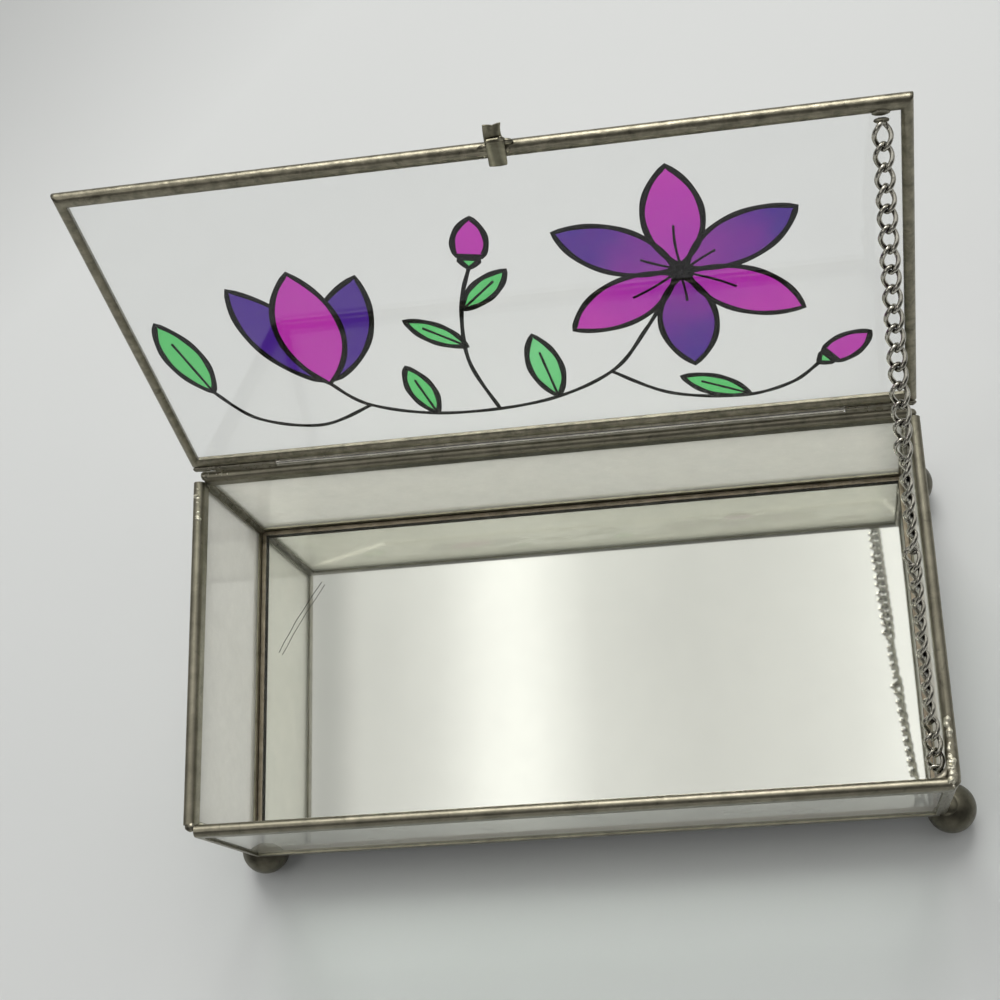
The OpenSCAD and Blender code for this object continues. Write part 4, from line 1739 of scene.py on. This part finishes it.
@dataclass
class StayChain:
    """Twisted oval links from the hook on the box to the solder on the lid's rail."""

    sizes: BoxSizes
    wire: float = 0.00108
    width: float = 0.0045
    step: float = 0.0042
    play: float = 0.0002
    twist: float = 58.0
    sag: float = 0.0015
    bow: float = 0.001
    hook_wire: float = 0.0011
    rings: int = 32
    sides: int = 12
    seed: int = 5
    blend_share: float = 0.8
    rolls: tuple[tuple[float, float], ...] = (
        (0.0, 80.0),
        (0.04, 72.0),
        (0.09, 6.0),
        (0.2, 11.0),
        (0.3, 17.0),
        (0.42, 14.0),
        (0.5, 8.0),
        (0.57, 62.0),
        (0.7, 84.0),
        (1.0, 90.0),
    )
    odd: tuple[tuple[int, float, float], ...] = (
        (12, 44.0, -0.0003),
        (13, -20.0, 0.0002),
        (18, 36.0, -0.0002),
    )
    hook_in: Point = (0.0022, 0.0031, 0.0042)
    link_at: Point = (0.0849, 0.00415, -0.00125)
    mound_x: float = 0.0850
    mounds: tuple[tuple[str, float, float, Point], ...] = (
        ("lid_link_solder", 0.0048, -0.00075, (0.0016, 0.00065, 0.00065)),
        ("lid_link_foot", 0.0032, -0.00034, (0.0019, 0.00034, 0.0011)),
    )
    stir: Flat = (5.0, 13.0)
    mound_seed: int = 31
    mound_unevenness: float = 0.15

    def build(self, nodes: dict[str, bpy.types.Object]) -> None:
        """Build the fine chain in place of the plain one, and dress its ends.

        Args:
            nodes: The frame's nodes by name.
        """
        dress(nodes, ["chain_hook"], Shop.CHAIN)
        dress(nodes, ["hook_solder"], Shop.SOLDER)
        hook, top = self.ends()
        paths = self.link_paths()
        chain = self.skin("curb_chain", paths[:-1], None)
        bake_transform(chain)
        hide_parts("stay_chain")
        last = self.skin("lid_link", paths[-1:], Body.LID)
        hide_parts("chain_eye")
        LOG.info("built curb_chain and lid_link")
        for name, back, out, size in self.mounds:
            place = self.sizes.on_lid(self.mound_x, self.sizes.lid_front - back, out)
            mound = solder_blob(
                name, tuple(place), size, Body.LID, self.mound_seed, self.mound_unevenness
            )
            if name == "lid_link_solder":
                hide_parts("chain_top_solder")
            LOG.info("built %s", name)

    def skin(
        self, name: str, paths: list[list[Vector]], body: Body | None
    ) -> bpy.types.Object:
        """Sweep the wire of some links.

        Args:
            name: The piece's name.
            paths: Middle line of each link.
            body: The body that the piece rides on, or None.

        Returns:
            The new piece.
        """
        points: list[Vector] = []
        faces: list[tuple[int, ...]] = []
        for path in paths:
            ring, more = tube_skin(
                path, self.wire / 2, self.sides, closed=True, first=len(points)
            )
            points += ring
            faces += more
        return new_piece(name, points, faces, Shop.CHAIN, body)

    def ends(self) -> tuple[Vector, Vector]:
        """Find the chain's two ends.

        Returns:
            Where it hangs on the hook, and the upper end of its last link.
        """
        s = self.sizes
        x, y, z = self.hook_in
        hook = Vector((s.inner_w / 2 - x, -s.inner_d / 2 + y, s.rail_z - z))
        x, back, out = self.link_at
        return hook, s.on_lid(x, s.lid_front - back, out)

    def roll_at(self, share: float) -> float:
        """Find the roll of a link.

        Args:
            share: The link's place as a share of the chain's length.

        Returns:
            The roll in degrees.
        """
        for (s0, r0), (s1, r1) in zip(self.rolls, self.rolls[1:]):
            if share <= s1:
                t = (share - s0) / (s1 - s0)
                return r0 + (r1 - r0) * t * t * (3.0 - 2.0 * t)
        return self.rolls[-1][1]

    def link_paths(self) -> list[list[Vector]]:
        """Return the middle line of each link.

        Returns:
            One closed path per link, from the hook to the lid.
        """
        hook, top = self.ends()
        along = (top - hook).normalized()
        length = (top - hook).length
        spare = length + self.hook_wire / 2 - self.wire
        count = round(spare / self.step)
        pitch = spare / count
        half = (pitch + self.wire + self.play) / 2
        across = (self.width - self.wire) / 2
        first = half - self.wire / 2 - self.hook_wire / 2 - self.play
        side = Vector((1.0, 0.0, 0.0)).cross(along).normalized()
        other = along.cross(side)
        rng = random.Random(self.seed)
        odd = {number: (turn, shift) for number, turn, shift in self.odd}

        def middle(distance: float) -> Vector:
            """Return a point of the hanging line at a distance from the hook."""
            t = distance / length
            hang = Vector((self.bow, 0.0, self.sag)) * 4 * t * (1 - t)
            return hook + along * distance - hang

        paths = []
        for i in range(count):
            at = first + i * pitch
            ahead = (middle(at + 0.0005) - middle(at - 0.0005)).normalized()
            extra, shift = odd.get(i, (0.0, 0.0))
            roll = self.roll_at(i / (count - 1)) + extra
            if 0 < i < count - 1:
                roll += rng.uniform(-1.0, 1.0) * self.stir[0 if i < 0.5 * count else 1]
            centre = middle(at) + Vector((shift, 0.0, 0.0))
            path = []
            for j in range(self.rings):
                f = 2.0 * math.pi * j / self.rings
                turn = math.radians(roll + self.twist * math.cos(f))
                out = side * math.cos(turn) + other * math.sin(turn)
                path.append(
                    centre + ahead * (half * math.cos(f)) + out * (across * math.sin(f))
                )
            paths.append(path)
        return paths


# ---------------------------------------------------------------- the lid's picture


class Coat(str, Enum):
    """The colour coats of the drawing."""

    PURPLE = "purple"
    MAGENTA = "magenta"
    GREEN = "green"


def turned(point: Flat, angle: float, shift: Flat) -> Flat:
    """Turn a drawing point by an angle in degrees and shift it."""
    c, s = math.cos(math.radians(angle)), math.sin(math.radians(angle))
    return (point[0] * c - point[1] * s + shift[0], point[0] * s + point[1] * c + shift[1])


def spline(points: tuple[Flat, ...], steps: int) -> list[Flat]:
    """Return a smooth line through some drawing points.

    Args:
        points: The points it passes through.
        steps: Parts between two of them.

    Returns:
        The points of the smooth line.
    """
    line = []
    last = len(points) - 1
    for k in range(last):
        p0, p1 = points[max(k - 1, 0)], points[k]
        p2, p3 = points[k + 1], points[min(k + 2, last)]
        for i in range(steps):
            t = i / steps
            line.append(
                tuple(
                    0.5
                    * (
                        2 * p1[a]
                        + (p2[a] - p0[a]) * t
                        + (2 * p0[a] - 5 * p1[a] + 4 * p2[a] - p3[a]) * t**2
                        + (3 * p1[a] - p0[a] - 3 * p2[a] + p3[a]) * t**3
                    )
                    for a in (0, 1)
                )
            )
    return line + [points[-1]]


def lens_outline(length: float, width: float, count: int = 22) -> list[Flat]:
    """Return the outline of a pointed oval along x, in millimetres.

    Args:
        length: Its length from tip to tip.
        width: Its width at the middle.
        count: Points on each arc.

    Returns:
        The closed outline, without its first point repeated.
    """
    radius = (length * length + width * width) / (4.0 * width)
    drop = radius - width / 2
    half = math.sqrt(max(radius * radius - drop * drop, 0.0))
    end = math.atan2(drop, half)
    upper = []
    for i in range(count):
        turn = end + (math.pi - 2 * end) * i / count
        upper.append((radius * math.cos(turn), radius * math.sin(turn) - drop))
    return upper + [(-x, -y) for x, y in upper]


@dataclass
class PictureShape:
    """One closed form of the drawing: its outline and colour coat."""

    outline: list[Flat]
    coat: Coat


@dataclass
class LidPicture:
    """A plain flower drawing in raised black lines and see-through colour coats."""

    sizes: BoxSizes
    line_w: float = 1.35
    stem_w: float = 1.0
    line_h: float = 0.35
    star_at: Flat = (40.0, 4.0)
    cup_at: Flat = (-48.0, -21.0)
    hub_r: float = 2.6
    petals: int = 6
    petal: Flat = (29.0, 13.0)
    petal_in: float = 1.0
    cup_len: float = 37.0
    cup_side: float = 0.36
    cup_middle: float = 0.42
    cup_lean: float = 24.0
    leaf: Flat = (22.0, 7.6)
    bud: Flat = (15.0, 7.5)
    bud_cup: Flat = (9.5, 6.0)
    rib_w: float = 0.6
    rib_share: float = 0.72
    wobble: float = 0.09
    plate: Flat = (0.02, 0.1)
    leaves: tuple[tuple[float, float, float, float], ...] = (
        (6.0, -33.4, 97.0, 1.0),
        (-24.5, -35.2, 103.0, 0.8),
        (-12.4, -13.0, 141.0, 0.74),
        (-11.0, -1.0, 42.0, 0.74),
        (-77.0, -20.0, 104.0, 1.15),
        (52.0, -39.0, 152.0, 0.8),
    )
    buds: tuple[tuple[float, float, float], ...] = ((-5.2, 19.0, 78.0), (75.0, -26.0, 36.0))
    stems: tuple[tuple[Flat, ...], ...] = (
        (
            (37.4, -0.5),
            (30.0, -13.3),
            (20.0, -26.5),
            (2.0, -34.5),
            (-22.0, -35.6),
            (-40.0, -30.0),
            (-48.0, -21.0),
        ),
        ((-9.0, -35.6), (-13.0, -18.0), (-11.0, 0.0), (-6.8, 11.8)),
        ((20.0, -26.5), (33.0, -36.0), (50.0, -39.4), (62.0, -36.5), (69.0, -30.4)),
        ((-40.0, -30.0), (-54.0, -35.5), (-69.0, -31.0), (-77.0, -20.0)),
    )
    shapes: list[PictureShape] = field(default_factory=list)

    def build(self, nodes: dict[str, bpy.types.Object]) -> None:
        """Build the lines and coats on the lid's outer face in place of the plain ones.

        Args:
            nodes: The frame's nodes by name.
        """
        dress(nodes, ["picture_lead"], Shop.BLACK)
        self.collect()
        self.raised_lines()
        self.coats()

    def place(self, point: Flat, height: float) -> Vector:
        """Return a drawing point on the outer face.

        Args:
            point: x to the right and y toward the front edge, in millimetres.
            height: Height above the glass, in millimetres.

        Returns:
            The place in the shared frame.
        """
        s = self.sizes
        face = s.lid_rise + s.glass_t / 2
        return s.on_lid(point[0] * MM, s.lid_middle + point[1] * MM, face + height * MM)

    def collect(self) -> None:
        """List the closed forms with the outlines of their middle lines."""
        for i in range(self.petals):
            away = self.hub_r + self.petal[0] / 2 - self.petal_in
            line = lens_outline(*self.petal)
            coat = Coat.PURPLE if i % 2 == 0 else Coat.MAGENTA
            self.add_shape(line, coat, away, self.petal_turn(i), self.star_at)
        half = self.cup_len / 2
        side = lens_outline(self.cup_len, self.cup_len * self.cup_side)
        for lean in (-self.cup_lean, self.cup_lean):
            self.add_shape(side, Coat.PURPLE, half, 90 + lean, self.cup_at)
            self.shapes[-1].outline = self.trim(self.shapes[-1].outline)
        middle = lens_outline(self.cup_len, self.cup_len * self.cup_middle)
        self.add_shape(middle, Coat.MAGENTA, half, 90, self.cup_at)
        for x0, y0, turn, share in self.leaves:
            length = self.leaf[0] * share
            line = lens_outline(length, self.leaf[1] * share)
            self.add_shape(line, Coat.GREEN, length / 2, turn, (x0, y0))
        whole = lens_outline(*self.bud)
        near = [math.hypot(x + self.bud_cup[0], y) < self.bud_cup[1] for x, y in whole]
        cup = [p for p, inside in zip(whole, near) if inside]
        rest = [p for p, inside in zip(whole, near) if not inside]
        for x0, y0, turn in self.buds:
            self.add_shape(rest, Coat.MAGENTA, 0.0, turn, (x0, y0))
            self.add_shape(cup, Coat.GREEN, 0.0, turn, (x0, y0))

    def petal_turn(self, number: int) -> float:
        """Return the angle of one of the star's petals, in degrees."""
        return 30 + 360 / self.petals * number

    def add_shape(
        self, line: list[Flat], coat: Coat, away: float, turn: float, base: Flat
    ) -> None:
        """Add one closed form to the drawing.

        Args:
            line: Its outline round its own middle.
            coat: Its colour coat.
            away: Distance from its base to its middle.
            turn: Its direction in degrees.
            base: Its base in the drawing.
        """
        outline = [turned((x + away, y), turn, base) for x, y in line]
        self.shapes.append(PictureShape(outline, coat))

    def trim(self, outline: list[Flat]) -> list[Flat]:
        """Take the part of a side petal that the cup's middle petal leaves free.

        Args:
            outline: The whole side petal.

        Returns:
            Its free part, closed along the middle petal's edge.
        """
        width = self.cup_len * self.cup_middle
        radius = (self.cup_len**2 + width**2) / (4.0 * width)
        base = self.cup_at
        centre_y = base[1] + self.cup_len / 2
        sign = 1.0 if sum(p[0] for p in outline) / len(outline) > base[0] else -1.0
        centre = (base[0] - sign * (radius - width / 2), centre_y)

        def free(p: Flat) -> bool:
            """Return whether a point lies outside the middle petal."""
            return math.hypot(p[0] - centre[0], p[1] - centre[1]) > radius + 0.02

        flags = [free(p) for p in outline]
        count = len(outline)
        start = next(i for i in range(count) if flags[i] and not flags[i - 1])
        run = []
        for k in range(count):
            p = outline[(start + k) % count]
            if not flags[(start + k) % count]:
                break
            run.append(p)
        a0 = math.atan2(run[-1][1] - centre[1], run[-1][0] - centre[0])
        a1 = math.atan2(run[0][1] - centre[1], run[0][0] - centre[0])
        if sign < 0:
            a0, a1 = a0 % (2 * math.pi), a1 % (2 * math.pi)
        arc = [
            (
                centre[0] + radius * math.cos(a0 + (a1 - a0) * t / 14),
                centre[1] + radius * math.sin(a0 + (a1 - a0) * t / 14),
            )
            for t in range(1, 14)
        ]
        return run + arc

    def raised_lines(self) -> None:
        """Sweep a low rounded bead along every outline and stem."""
        points: list[Vector] = []
        faces: list[tuple[int, ...]] = []
        for shape in self.shapes:
            self.bead(shape.outline, True, self.line_w, points, faces)
        for stem in self.stems:
            self.bead(spline(stem, 12), False, self.stem_w, points, faces)
        for i in range(self.petals):
            rib = [
                turned(
                    (self.hub_r + t, 0.4 * math.sin(t / 4)), self.petal_turn(i), self.star_at
                )
                for t in range(12 if i % 2 else 8)
            ]
            self.bead(rib, False, self.rib_w, points, faces)
        for x0, y0, turn, share in self.leaves:
            length = self.leaf[0] * share * self.rib_share
            line = [turned((length * i / 12, 0.0), turn, (x0, y0)) for i in range(13)]
            self.bead(line, False, self.rib_w, points, faces)
        hub = [
            turned((self.hub_r * 0.55, 0.0), 360.0 * i / 24, self.star_at) for i in range(24)
        ]
        self.bead(hub, True, self.hub_r * 1.3, points, faces)
        piece = new_piece(
            "flower_outline", points, faces, Shop.BLACK, Body.LID
        )
        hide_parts("picture_lead")
        LOG.info("built flower_outline")

    def bead(
        self,
        line: list[Flat],
        closed: bool,
        width: float,
        points: list[Vector],
        faces: list[tuple[int, ...]],
    ) -> None:
        """Add one bead with a half-oval section to the skin.

        Args:
            line: The middle line, in millimetres.
            closed: Whether it is a ring.
            width: Width of the bead, in millimetres.
            points: The skin's points, extended here.
            faces: The skin's faces, extended here.
        """
        count = len(line)
        base = len(points)
        steps = 8
        for i in range(count):
            ahead = line[(i + 1) % count] if closed or i + 1 < count else line[i]
            behind = line[i - 1] if closed or i > 0 else line[i]
            dx, dy = ahead[0] - behind[0], ahead[1] - behind[1]
            size = math.hypot(dx, dy) or 1.0
            nx, ny = -dy / size, dx / size
            half = width / 2 * (1.0 + self.wobble * math.sin(i * 0.9 + base * 0.37))
            for k in range(steps + 1):
                turn = math.pi * k / steps
                offset = half * math.cos(turn)
                height = self.line_h * math.sin(turn)
                points.append(
                    self.place((line[i][0] + nx * offset, line[i][1] + ny * offset), height)
                )
        ring = steps + 1
        for i in range(count if closed else count - 1):
            a, b = base + i * ring, base + ((i + 1) % count) * ring
            for k in range(steps):
                faces.append((a + k, b + k, b + k + 1, a + k + 1))
            faces.append((a, a + steps, b + steps, b))
        if not closed:
            faces.append(tuple(base + k for k in range(ring)))
            last = base + (count - 1) * ring
            faces.append(tuple(last + k for k in range(ring))[::-1])

    def coats(self) -> None:
        """Fill the forms with colour coats, a hair above the glass."""
        tones = (
            (Coat.PURPLE, (0.085, 0.01, 0.36), (0.42, 0.02, 0.46), self.star_at),
            (Coat.MAGENTA, (0.68, 0.035, 0.58), (0.5, 0.025, 0.55), self.star_at),
            (Coat.GREEN, (0.14, 0.76, 0.22), (0.25, 0.88, 0.36), (0.0, -20.0)),
        )
        for coat, deep, bright, centre in tones:
            name = coat.value
            finish = Lacquer(f"lacquer_{name}", deep, bright, tuple(self.place(centre, 0.0)))
            points: list[Vector] = []
            faces: list[tuple[int, ...]] = []
            for shape in self.shapes:
                if shape.coat is coat:
                    self.coat_plate(shape.outline, points, faces)
            piece = new_piece(
                f"flower_{name}", points, faces, finish, Body.LID
            )
            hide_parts(f"picture_{name}")
            LOG.info("built flower_%s", name)

    def coat_plate(
        self, outline: list[Flat], points: list[Vector], faces: list[tuple[int, ...]]
    ) -> None:
        """Add one thin plate, with its rim under the raised line.

        Args:
            outline: The form's middle line.
            points: The skin's points, extended here.
            faces: The skin's faces, extended here.
        """
        count = len(outline)
        base = len(points)
        cx = sum(p[0] for p in outline) / count
        cy = sum(p[1] for p in outline) / count
        for height in self.plate:
            for x, y in outline:
                points.append(self.place((x, y), height))
            points.append(self.place((cx, cy), height))
        low_mid, high_mid = base + count, base + 2 * count + 1
        high = base + count + 1
        for i in range(count):
            j = (i + 1) % count
            faces.append((base + j, base + i, low_mid))
            faces.append((high + i, high + j, high_mid))
            faces.append((base + i, base + j, high + j, high + i))


# ---------------------------------------------------------------- studio


@dataclass
class Studio:
    """Pale table, soft light and the camera of the photograph."""

    eye: Point = (0.06317, -0.09959, 0.45513)
    ahead: Point = (-0.13994, 0.32075, -0.93677)
    right: Point = (0.98616, -0.03983, -0.16095)
    focal_px: float = 1700.95
    centre_px: Flat = (563.53, 478.99)
    sensor: float = 36.0
    depth_tones: tuple[tuple[float, float], ...] = (
        (-1.0, 1.5),
        (-0.955, 1.3),
        (-0.9, 0.5),
        (-0.6, 0.12),
        (-0.22, 0.12),
        (0.1, 1.0),
    )
    ceiling: tuple[tuple[float, float], ...] = (
        (0.0, 0.8),
        (0.225, 0.8),
        (0.243, 0.45),
        (0.252, 0.46),
        (0.2653, 0.652),
        (0.2857, 0.697),
        (0.3061, 0.79),
        (0.3163, 0.882),
        (0.3265, 0.985),
        (0.3367, 1.06),
        (0.3469, 1.09),
        (0.3571, 1.05),
        (0.3673, 0.95),
        (0.3877, 0.76),
        (0.4132, 0.7),
        (0.4387, 0.665),
        (0.4642, 0.69),
        (0.4897, 0.727),
        (0.5152, 0.81),
        (0.5407, 0.96),
        (0.6, 0.9),
        (0.8, 0.8),
    )
    table_half: float = 3.0
    table_rows: tuple[Flat, ...] = ((-2.5, 0.0), (2.0, 0.0), (2.6, 0.12), (2.9, 0.6))
    lamp_tone: Colour = (1.0, 0.985, 0.96)
    lamp_aim: Point = (0.0, 0.0, 0.05)
    lamp_rows: tuple[tuple[str, Point, Flat, float], ...] = (
        ("window_light", (-0.1, 1.5, 1.6), (1.4, 1.4), 29.5),
        ("side_lamp", (-0.6, -0.25, 1.1), (0.36, 0.36), 0.7),
        ("front_lamp", (-0.25, -1.6, 0.52), (1.3, 0.36), 1.0),
    )

    def build(self) -> None:
        """Set up table, world, lamps, camera and view."""
        self.table()
        self.sky()
        self.lamps()
        self.camera()
        bpy.context.scene.view_settings.view_transform = "Standard"

    def table(self) -> None:
        """Build the table top as one wide sheet with a soft far rise."""
        points, faces = [], []
        for y, z in self.table_rows:
            points += [Vector((-self.table_half, y, z)), Vector((self.table_half, y, z))]
        for i in range(len(self.table_rows) - 1):
            faces.append((2 * i, 2 * i + 1, 2 * i + 3, 2 * i + 2))
        table = new_piece("table_top", points, faces, Shop.TABLE, None)
        LOG.info("built table_top")

    def sky(self) -> None:
        """Build a pale room: bright ceiling with one lighter band, dimmer sides."""
        world = bpy.data.worlds.new("pale_room")
        bpy.context.scene.world = world
        world.use_nodes = True
        world.node_tree.nodes.clear()
        pad = NodePad(world.node_tree)
        direction = pad.add("ShaderNodeTexCoord").outputs["Generated"]
        axes = pad.axes(direction)
        height = pad.math("MAXIMUM", axes["Z"], 0.08)
        slope = pad.math("DIVIDE", axes["X"], height)
        band = pad.ramp(
            pad.span(slope, (-0.6, 0.6), (0.0, 1.0)),
            [(place, (tone, 0.995 * tone, 0.975 * tone)) for place, tone in self.ceiling],
        )
        lift = pad.span(axes["Z"], (0.05, 0.8), (0.16, 1.0))
        depth = pad.ramp(
            pad.span(axes["Y"], (-1.0, 1.0), (0.0, 1.0)),
            [((y + 1.0) / 2.0, grey(tone)) for y, tone in self.depth_tones],
        )
        background = pad.add("ShaderNodeBackground")
        room = pad.scale(band, pad.math("MULTIPLY", lift, depth))
        pad.join(room, background.inputs["Color"])
        background.inputs["Strength"].default_value = 1.0
        output = pad.add("ShaderNodeOutputWorld")
        pad.join(background.outputs["Background"], output.inputs["Surface"])

    def lamps(self) -> None:
        """Add the soft lamp from behind, a small one from the left and a low front one."""
        for name, place, size, power in self.lamp_rows:
            lamp = bpy.data.lights.new(name, "AREA")
            lamp.shape = "ELLIPSE"
            lamp.size, lamp.size_y = size
            lamp.energy = power
            lamp.color = self.lamp_tone
            holder = bpy.data.objects.new(name, lamp)
            bpy.context.scene.collection.objects.link(holder)
            holder.location = place
            aim = Vector(self.lamp_aim) - Vector(place)
            holder.rotation_euler = aim.to_track_quat("-Z", "Y").to_euler()
            LOG.info("built %s", name)

    def camera(self) -> None:
        """Place the camera where the photograph was taken."""
        lens = bpy.data.cameras.new("photo_camera")
        lens.sensor_width = self.sensor
        lens.lens = self.focal_px / 1000.0 * self.sensor
        lens.shift_x = (500.0 - self.centre_px[0]) / 1000.0
        lens.shift_y = (self.centre_px[1] - 500.0) / 1000.0
        lens.clip_start = 0.01
        holder = bpy.data.objects.new("photo_camera", lens)
        bpy.context.scene.collection.objects.link(holder)
        back = -Vector(self.ahead).normalized()
        across = Vector(self.right).normalized()
        up = back.cross(across).normalized()
        turn = Matrix((across, up, back)).transposed().to_4x4()
        holder.matrix_world = Matrix.Translation(Vector(self.eye)) @ turn
        bpy.context.scene.camera = holder
        LOG.info("built photo_camera")


def main() -> None:
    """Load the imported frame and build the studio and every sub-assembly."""
    logging.basicConfig(level=logging.INFO, format="%(name)s: %(message)s")
    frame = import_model()
    nodes = frame["nodes"]
    sizes = BoxSizes()
    Studio().build()
    GlassWalls(sizes).build(nodes)
    MirrorFloor(sizes).build(nodes)
    BallFeet().build(nodes)
    RodHinge(sizes).build(nodes)
    HingedLid(sizes).build(nodes)
    StayChain(sizes).build(nodes)
    LidPicture(sizes).build(nodes)
    LOG.info("all pieces built")


if __name__ == "__main__":
    main()
